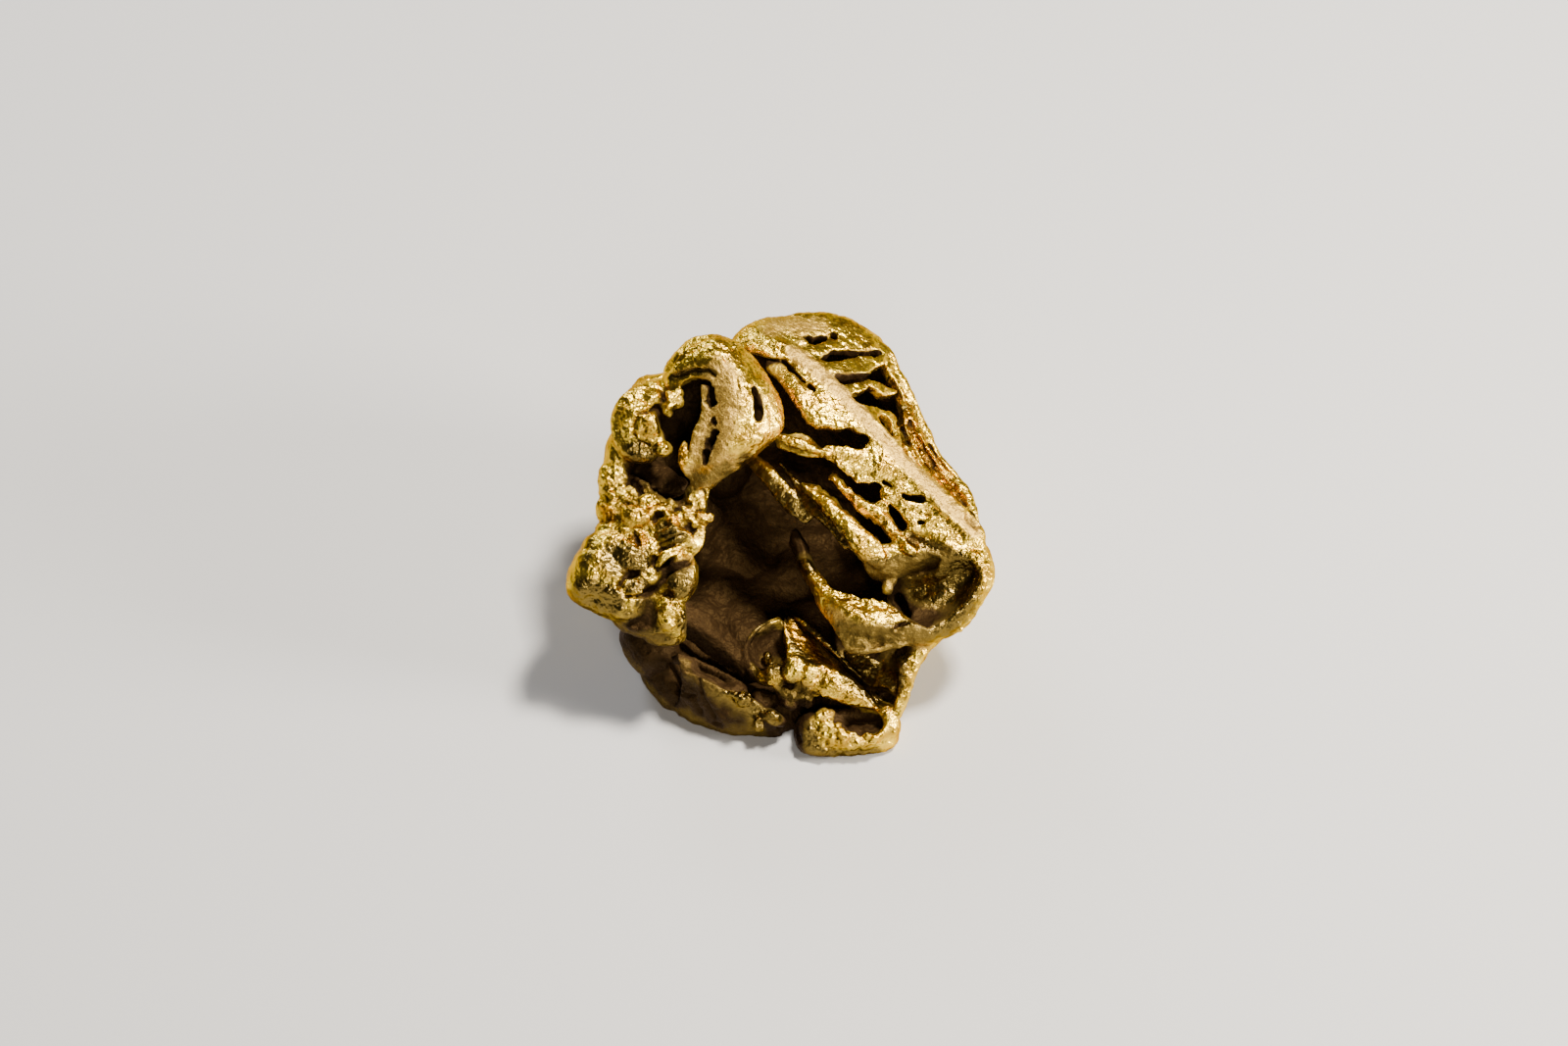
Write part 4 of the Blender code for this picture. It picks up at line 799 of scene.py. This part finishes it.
# Where a rough, dull skin replaces the bright one.
DULL = rows("""
1.2 1.8 2.5 -3.2,7.8 -3.2,6 -3.8,4.4
1.2 1.3 2 -4.4,2.8 -3,3.4
1 0.75 -0.5 0.4,9.3 2.4,7.7 4.1,5.9 6,3.8 8.1,1.7 9.6,0.2
1.3 1.3 1.5 2.4,-4.4 3.4,-5.3 5,-5.4 6.6,-5.2
1.2 1 2 3.8,-1.7 4.8,-2 6.2,-1.7 8,-1.2
0.7 1.5 -2 -0.6,10.7 1.6,10.6
1.1 1.2 0.5 0.1,-8.1 0.8,-8.1
1 1.2 -3 -6.4,-7 -4.6,-9 -2,-9.8
""")

# Where a smooth dark brown film has formed, and painted shade on facets, undersides and hollow
# walls turned from the light.
TARNISH_AND_SHADE = rows("""
1.4 1.6 2.5 -8.3,-1.2 -7.5,-1.3
1.4 1.6 1 -9.9,-3 -8.8,-3.4
1.4 1.3 2.5 -5.2,-2 -5.2,-2.6
1.3 0.9 2.5 -7,-3.5 -6.7,-4.1
1.3 0.7 2.5 -7.6,-2.6 -7.1,-2.5
1.2 0.9 3 -5.9,0.2 -5.3,-0.1
1.5 0.9 0 -7.8,-5.3 -6.4,-5.7 -5.4,-5.8
1.6 1.4 -2 0.4,0.6 1.2,-1.2
1.8 3.2 -3.5 -7.6,-5.8 -6,-7.6 -4.4,-8.6 -2.6,-9.2 -0.4,-10.2
1.5 1.6 -4 -4.4,-4.4 -3.2,-5.6 -2.2,-6.8
1.5 1.5 0 6.8,-4.7 8,-4.4 8.9,-3.4 9.1,-2.2 8.6,-1.6
1.4 2.2 -1 6.4,-3 8,-2.6
1.4 1.2 1.5 4.6,-1.8 6,-1.6 7.6,-1.5
1.3 1.3 1.5 3,-5 4.4,-5.2 6.4,-5
1.4 1.3 -3 3.8,-6.3 5.2,-7.4
1.4 1.3 -3 5.6,-5.8 5.4,-7.4
1.2 1.3 -2 1.6,-5 3.2,-6.6 4.6,-8
1.4 1.6 -3 -1,-5.2 -0.6,-6.2
1.3 1.3 0 0.2,-8 0.9,-8.4
1.4 0.9 0 1,-10 1.4,-10.8
0.9 1.2 0 -7.6,4.3 -6.8,4.1
1.1 0.35 1.5 -5.7,7.9 -4.6,8.25 -3.5,8.1
1 1 2 -4.6,2.6 -3,3.2
1.2 0.7 1.5 6.5,-0.2 7.2,-0.6 8.4,-1
1.3 0.8 -1 -1.9,3.7 0.4,1.4 1.5,0.7
1.3 0.6 0.5 -0.3,3.7 1.1,1.7 2.6,0.1 3.3,-1.2
1.2 1 -0.5 0.3,-4.4 0.6,-5.2 1.3,-5.9 2.1,-6.4
0.8 0.5 1 -9.6,0 -9.9,-1.6
1.1 0.8 -1 1,-10.8 2.6,-11.3 4.6,-11.1
1 0.5 -4 6.2,6.4 6.6,5 7.4,3.6
1.3 1.4 0 -7.4,3.3 -6.2,2.7 -5.4,2.3
""")

# Where painted shade, with some iron stain, darkens the skin although it lies open: in the slots,
# on the base and in other shaded places.
STAINED_AND_SHADED = rows("""
1.5 0.4 -5 1,10 2.1,10
1.5 0.3 -5 2.56,10.2 2.6,10.2
1.5 0.42 -5 2.1,9.1 4.9,9.3
1.5 0.38 -5 2.7,8 4.3,8.1
1.5 0.4 0 -1.5,7.2 -1.3,6.6 -1.3,5.9
1.2 0.2 1 -3.6,7.5 -3.5,6.6
1.2 0.22 1 -3.4,5.1 -3.75,4.4 -4,3.6
0.8 3.4 -5 -7.8,-5.6 -6.2,-7.6 -4.4,-8.8 -2.6,-9.4 -0.4,-10.4
1.5 1.3 -5 -4.2,-4.4 -3.6,-5 -2.6,-6.2 -2.2,-7.2
0.65 1 2.5 -5,-1.7 -4.9,-2.6
0.8 0.9 -1.5 0.5,0.4 0.8,-0.7
0.5 0.8 0.5 6.8,-3.9 7.6,-3.8
0.5 0.8 0 7,-4.7 8.3,-4.4 9,-3.6
1 0.5 -2 3,-9.15 4.6,-9.2
0.7 0.4 -2 9.4,0.9 9.7,0.5
0.8 0.8 -1 1,-10.9 3,-11.6 5,-11.3
0.8 1 -1 0.6,-10.2 0.7,-11
""")

# What stands clear of the stain and painted shade although it lies low, so that it is painted as
# lit.
CLEAN_AND_LIT = rows("""
1 0.9 0.8 -1.6,-6.8 -0.6,-7.3
1 1.6 0.9 0.4,-6.6 2.4,-7.4 4.4,-8.4
0.8 0.6 1.2 6.2,-6.8 6.2,-7.6
1 1.2 -4 6.2,6.6 6.8,4.6 8,2.8 9,1.8
1 1.8 -4 -1,10.6 1,10.6 3.4,10.2 5.2,8.6
0.5 1.8 0 7,-2.8 8.6,-2.8
0.75 0.9 -1.5 -1.9,3.7 0.4,1.4 1.5,0.7
1.2 0.6 0.5 -0.3,3.7 1.1,1.7 2.6,0.1
1.2 0.5 0.3 -0.9,-6.1 -0.8,-6.6
2 0.7 1.5 -2.4,-8.2 -1.8,-8.4
2 0.6 1 -0.9,-9 -0.3,-9.2
2 0.6 1 -1.3,-9.4 -1.3,-9.8
0.8 1.1 -2 3.4,-6.2 4.6,-7.1 5.3,-7.7
0.9 0.3 -0.5 0.4,-4.1 1.1,-4.6 2.1,-5.5 3.1,-6.5 4.6,-7.9
0.35 0.9 -1 0.3,-4.6 0.7,-5.3 1.5,-6
""")

# Where iron has turned the skin orange.
OXIDE = rows("""
0.9 0.7 -4 6.3,6 7,4.4 8,2.9 8.8,2
0.5 0.6 1 7.2,-2.3 7.5,-3
1 0.6 2 -9,1.3 -8.7,0.8
1 0.4 2 -5.6,0.8 -5.4,0.7
0.9 0.6 2 -7.4,-0.2 -7,-0.3
0.8 0.5 2 -6.7,1.3 -6.4,1.4
0.9 0.9 -0.5 0.5,-4.8 1.3,-5.6 2.4,-6.6
0.8 0.5 -3 -0.2,7.5 0.6,6.4
0.7 0.4 1 1.8,-2 2.8,-2.8
0.8 0.6 2 -5.1,4.4 -5.2,3.4
0.6 0.6 3 -4.1,3.3 -3.8,3.3
0.6 0.7 1 2.3,2.8 3,2.1 3.8,1.4
""")


def spread(places, mark):
    """How strongly a mark is felt at each place: its strength on its run, fading out."""
    (strength,), (reach,), (behind,), *path = mark
    nearest = np.full(len(places), np.inf)
    for start, end in zip(path, path[1:]):
        start = np.array(start)
        span = np.array(end) - start
        share = np.clip((places[:, :2] - start) @ span / (span @ span), 0, 1)
        off = places[:, :2] - start - share[:, None] * span
        nearest = np.minimum(nearest, np.hypot(off[:, 0], off[:, 1]))
    near = np.clip(1 - nearest / reach, 0, 1)
    return np.minimum(strength * near * near * (3 - 2 * near), 1) * (places[:, 2] > behind)


def felt(places, marks):
    """The strongest of several marks at each place."""
    return np.max([spread(places, mark) for mark in marks], axis=0)


def read(mesh, what):
    """The places or the normals of a mesh's points, one row each."""
    values = np.empty(3 * len(mesh.vertices), dtype=np.float32)
    mesh.vertices.foreach_get(what, values)
    return values.reshape(-1, 3)


def bumps(place, relief):
    """The height of one of the reliefs at a place."""
    height, count, offset = relief
    return height * noise.noise(place * count + Vector(offset))


def weather(mesh):
    """Cracks, dishes, dents, hammering and grains, all moved along the skin's normals."""
    places, normals = read(mesh, "co"), read(mesh, "normal")
    turned_up = np.clip(normals[:, 2] * TURN_FADE, 0, 1)
    sunk = (felt(places, CRACKS) + felt(places, DISHES)) * turned_up
    grainy = felt(places, GRAINY) * turned_up
    push = []
    for place, strong in zip(places, grainy):
        p = Vector(place)
        move = abs(bumps(p, DENTS)) - abs(bumps(p, HAMMERING)) + abs(bumps(p, RIPPLES))
        move += bumps(p, FROST) - WEAR_LEVEL
        if strong > FAINT:
            first, second = noise.voronoi(p * GRAINS_PER_MM)[0][:2]
            grain = GRAIN_HEIGHT - GRAIN_SLOPE * first + GRAIN_EDGE * (second - first)
            move += strong * (grain + bumps(p, SUGAR))
        push.append(move)
    moved = places + normals * (np.array(push) - sunk)[:, None]
    mesh.vertices.foreach_set("co", moved.astype(np.float32).ravel())
    mesh.update()


def store(mesh, name, values):
    """Stores one value a point, for the material to read."""
    attribute = mesh.attributes.new(name, "FLOAT", "POINT")
    attribute.data.foreach_set("value", values.astype(np.float32))


def painted(mesh):
    """Stores how dull, brown with tarnish and painted shade, orange and grainy each point is;
    returns how much more stain and painted shade it gets.
    """
    places = read(mesh, "co")
    kinds = {"dull": DULL, "tarnish_and_shade": TARNISH_AND_SHADE, "oxide": OXIDE, "grainy": GRAINY}
    for name, marks in kinds.items():
        store(mesh, name, felt(places, marks))
    return STAIN_AND_SHADE_SHARE * felt(places, STAINED_AND_SHADED) - CLEAN_AND_LIT_SHARE * felt(places, CLEAN_AND_LIT)


def thinned(mesh):
    """The same mesh with no more than TRIANGLES triangles."""
    dense = placed("dense", mesh)
    thin = dense.modifiers.new("thin", "DECIMATE")
    thin.ratio = min(1.0, TRIANGLES / (2 * len(mesh.polygons)))
    thin.use_collapse_triangulate = True
    return evaluated(dense)


def stand(mesh):
    """Tips the laid-out nugget up, flattens what would sink into the ground, and centres it."""
    mesh.transform(Matrix.Rotation(math.radians(TIP_DEG), 4, "X"))
    for vert in mesh.vertices:
        vert.co.z = max(vert.co.z - GROUND, 0.0)
    xs = [vert.co.x for vert in mesh.vertices]
    ys = [vert.co.y for vert in mesh.vertices]
    centre = Vector(((min(xs) + max(xs)) / 2, (min(ys) + max(ys)) / 2, 0))
    mesh.transform(Matrix.Scale(MM, 4) @ Matrix.Translation(-centre))
    return centre


def evened(values, edges, rounds):
    """The values after each has been averaged with its neighbours' a few times over."""
    starts, stops = edges[:, 0], edges[:, 1]
    size = len(values)
    count = 1 + np.bincount(starts, minlength=size) + np.bincount(stops, minlength=size)
    for _ in range(rounds):
        near = np.bincount(starts, values[stops], size) + np.bincount(stops, values[starts], size)
        values = (values + near) / count
    return values


def shelter(mesh, marked_stain_and_shade):
    """Stores how closed in each point is, in the depths and in creases; iron stain and painted
    shade settle on both.
    """
    face_axis = Matrix.Rotation(math.radians(TIP_DEG), 3, "X") @ Vector((0, 0, 1)) / MM
    mid_height = GROUND * face_axis.z * MM
    tree = BVHTree.FromPolygons([v.co for v in mesh.vertices], [p.vertices for p in mesh.polygons])
    rays = []
    for index in range(RAYS):
        z = 1 - (index + 0.5) / RAYS
        turn = index * math.pi * (3 - math.sqrt(5))
        flat = math.sqrt(1 - z * z)
        rays.append(Vector((flat * math.cos(turn), flat * math.sin(turn), z)))
    begin, fade = DEPTHS
    deep_stain_and_shade, crease_stain_and_shade = [], []
    for vert in mesh.vertices:
        spin = vert.normal.to_track_quat("Z", "Y")
        start = vert.co + vert.normal * RAY_START * MM
        lengths = [tree.ray_cast(start, spin @ ray, HOLLOW * MM)[3] for ray in rays]
        hits = [length for length in lengths if length is not None]
        # a point far back in the hollow that faces out of it gets more painted shade, as the roof
        # above it would shade it
        back = min(max((begin - vert.co.dot(face_axis) - mid_height) / fade, 0), 1)
        outward = min(max(vert.normal.dot(face_axis) * MM + FACING_SLACK, 0), 1)
        deep_stain_and_shade.append(len(hits) / RAYS + DEPTHS_SHARE * back * outward)
        crease_stain_and_shade.append(sum(length < CREASE * MM for length in hits) / RAYS)
    ends = np.empty(2 * len(mesh.edges), dtype=np.int32)
    mesh.edges.foreach_get("vertices", ends)
    edges = ends.reshape(-1, 2)
    store(mesh, "deep_stain_and_shade", evened(deep_stain_and_shade + marked_stain_and_shade, edges, DEEP_ROUNDS))
    store(mesh, "crease_stain_and_shade", evened(np.array(crease_stain_and_shade), edges, CREASED_ROUNDS))


def linear(hex_colour):
    """An sRGB hex colour as linear red, green, blue, alpha."""
    parts = [int(hex_colour[i : i + 2], 16) / 255 for i in (0, 2, 4)]
    rgb = [c / 12.92 if c <= 0.04045 else ((c + 0.055) / 1.055) ** 2.4 for c in parts]
    return (*rgb, 1.0)


def add(tree, kind, settings=None, links=None):
    """Adds a node, sets its properties and input values, and links its inputs."""
    made = tree.nodes.new(kind)
    for name, value in (settings or {}).items():
        if isinstance(name, str) and hasattr(made, name):
            setattr(made, name, value)
        else:
            made.inputs[name].default_value = value
    for name, source in (links or {}).items():
        tree.links.new(source, made.inputs[name])
    return made


def native_gold():
    """Placer gold: satin metal, frosted by river wear, with brown iron stain and painted shade in
    its hollows, creases and slots.
    """
    material = bpy.data.materials.new(NATIVE_GOLD)
    material.use_nodes = True
    tree = material.node_tree
    shader = tree.nodes["Principled BSDF"]
    place = add(tree, "ShaderNodeTexCoord").outputs["Object"]

    def stored(name):
        return add(tree, "ShaderNodeAttribute", {"attribute_name": name}).outputs["Fac"]

    def ranged(value, low, high, start=0.0, end=1.0):
        ends = {"From Min": low, "From Max": high, "To Min": start, "To Max": end}
        return add(tree, "ShaderNodeMapRange", ends, {"Value": value}).outputs["Result"]

    def speckle(size_mm, detail=3.0):
        settings = {"Scale": 1 / (size_mm * MM), "Detail": detail}
        return add(tree, "ShaderNodeTexNoise", settings, {"Vector": place}).outputs["Fac"]

    def blend(share, under, over):
        settings, links = {"data_type": "RGBA"}, {0: share}
        for slot, value in ((6, under), (7, over)):
            if isinstance(value, str):
                settings[slot] = linear(value)
            else:
                links[slot] = value
        return add(tree, "ShaderNodeMix", settings, links).outputs[2]

    def combined(operation, first, second):
        links = {0: first, 1: second}
        return add(tree, "ShaderNodeMath", {"operation": operation}, links).outputs[0]

    def roughened(name, speckles, strength):
        """A stored value with speckles of some strength added."""
        settings = {"operation": "MULTIPLY_ADD", 1: strength}
        return add(tree, "ShaderNodeMath", settings, {0: speckles, 2: stored(name)}).outputs[0]

    def patchy(name, size_mm):
        """A stored mark with ragged edges."""
        return ranged(roughened(name, speckle(size_mm, 5.0), 0.9), 0.72, 1.25)

    def bump(height, height_mm, strength=None, below=None):
        """A relief of the skin over the one below it, at full strength unless told."""
        given = {"Height": height, "Strength": strength, "Normal": below}
        links = {name: source for name, source in given.items() if source is not None}
        return add(tree, "ShaderNodeBump", {"Distance": height_mm * MM}, links).outputs["Normal"]

    # pale and deeper gold in patches a millimetre or so across, as the wear left them
    patches = ranged(speckle(0.9, 6.0), 0.4, 0.62)
    colour = blend(patches, "F7D044", "BE962F")
    # the rough skin is greyer, and dirt sits in its pores
    pores = ranged(speckle(0.09, 3.0), 0.4, 0.66)
    dull = patchy("dull", 0.5)
    colour = blend(dull, colour, "D6B153")
    colour = blend(combined("MULTIPLY", dull, pores), colour, "8C703A")
    # a brown film, partly real tarnish and partly painted shade on facets and undersides turned
    # from the light
    tarnish_and_shade = patchy("tarnish_and_shade", 0.4)
    colour = blend(tarnish_and_shade, colour, "76622F")
    colour = blend(patchy("oxide", 0.25), colour, "C08A1C")
    # iron stain and painted shade: thin in the creases, dark in the slots and in the depths of the
    # hollow
    crease_shade = ranged(stored("crease_stain_and_shade"), 0.12, 0.5)
    colour = blend(crease_shade, colour, "3E2C12")
    uneven_stain_and_shade = roughened("deep_stain_and_shade", speckle(0.5, 4.0), 0.16)
    slot_shade = ranged(stored("crease_stain_and_shade"), 0.34, 0.56)
    stain_and_shade = combined("MAXIMUM", ranged(uneven_stain_and_shade, 0.48, 0.68), slot_shade)
    colour = blend(stain_and_shade, colour, "2A1D10")
    frosted = combined("MAXIMUM", dull, stain_and_shade)
    # sugar grain of a tenth of a millimetre, crumples of a third and frost finer still
    voronoi = add(tree, "ShaderNodeTexVoronoi", {"Scale": 1 / (0.14 * MM)}, {"Vector": place})
    sugar = bump(voronoi.outputs["Distance"], 0.05, ranged(stored("grainy"), 0, 1, 0.12, 0.9))
    crumples = bump(speckle(0.36, 2.0), 0.15, below=sugar)
    frost = bump(speckle(0.065, 2.0), 0.03, ranged(dull, 0, 1, 0.3, 0.9), crumples)
    made = {
        "Base Color": colour,
        "Metallic": ranged(stain_and_shade, 0, 1, 1.0, 0.3),
        "Roughness": ranged(frosted, 0, 1, 0.28, 0.55),
        "Normal": frost,
    }
    for name, source in made.items():
        tree.links.new(source, shader.inputs[name])
    shader.inputs["Specular IOR Level"].default_value = 0.2
    shader.inputs["Specular Tint"].default_value = linear("D9B76A")
    return material


def floor():
    """A plain pale floor, wide enough to fill any view."""
    bm = bmesh.new()
    bmesh.ops.create_grid(bm, x_segments=1, y_segments=1, size=FLOOR_HALF * MM)
    mesh = bpy.data.meshes.new("floor")
    bm.to_mesh(mesh)
    bm.free()
    material = bpy.data.materials.new("pale_floor")
    material.use_nodes = True
    shader = material.node_tree.nodes["Principled BSDF"]
    shader.inputs["Base Color"].default_value = linear("BCBEC4")
    shader.inputs["Roughness"].default_value = 0.9
    mesh.materials.append(material)
    obj = placed("floor", mesh)


def area_light(name, place_mm, size_mm, watts, colour=WARM_WHITE):
    """A square soft light aimed at the nugget's middle."""
    light = bpy.data.lights.new(name, "AREA")
    light.size = size_mm * MM
    light.energy = watts
    light.color = linear(colour)[:3]
    obj = placed(name, light)
    obj.location = Vector(place_mm) * MM
    aim = Vector(LIGHTS_AIM) * MM - obj.location
    obj.rotation_euler = aim.to_track_quat("-Z", "Y").to_euler()


def studio():
    """A key light from above, softer ones from the right, front and back, dim surroundings."""
    area_light("key", (68, 26, 212), 34, 1.35)
    area_light("side", (200, -30, 70), 60, 1.1)
    area_light("front", (20, -185, 150), 60, 0.26)
    area_light("back", (-110, 190, 120), 70, 0.3, WHITE)
    world = bpy.data.worlds.new("studio")
    world.use_nodes = True
    backdrop = world.node_tree.nodes["Background"]
    backdrop.inputs["Color"].default_value = linear("B4BED4")
    backdrop.inputs["Strength"].default_value = 0.07
    bpy.context.scene.world = world


def camera(centre):
    """A long lens that looks down on the open face."""
    tip = Matrix.Rotation(math.radians(TIP_DEG), 4, "X")
    target = tip @ Vector(CAMERA_TARGET) - centre - Vector((0, 0, GROUND))
    steep = math.radians(CAMERA_ELEVATION)
    back = Vector((0, -math.cos(steep), math.sin(steep)))
    lens = bpy.data.cameras.new("camera")
    lens.lens = LENS
    lens.clip_start = 0.01
    obj = placed("camera", lens)
    obj.location = (target + back * CAMERA_DISTANCE) * MM
    obj.rotation_euler = (-back).to_track_quat("-Z", "Y").to_euler()
    bpy.context.scene.camera = obj


def nugget():
    """The finished body; returns where the middle of its layout ended up."""
    noise.seed_set(NOISE_SEED)
    bm = bmesh.new()
    for feature in FEATURES:
        feature(bm)
    mesh = fused(bm)
    largest_piece(mesh)
    weather(mesh)
    mesh = thinned(mesh)
    marked_stain_and_shade = painted(mesh)
    centre = stand(mesh)
    shelter(mesh, marked_stain_and_shade)
    mesh.shade_smooth()
    mesh.materials.append(native_gold())
    mesh.name = "nugget_body"
    body = placed("nugget_body", mesh)
    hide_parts("nugget")
    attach(body, "root")
    return centre


centre = nugget()
floor()
studio()
camera(centre)
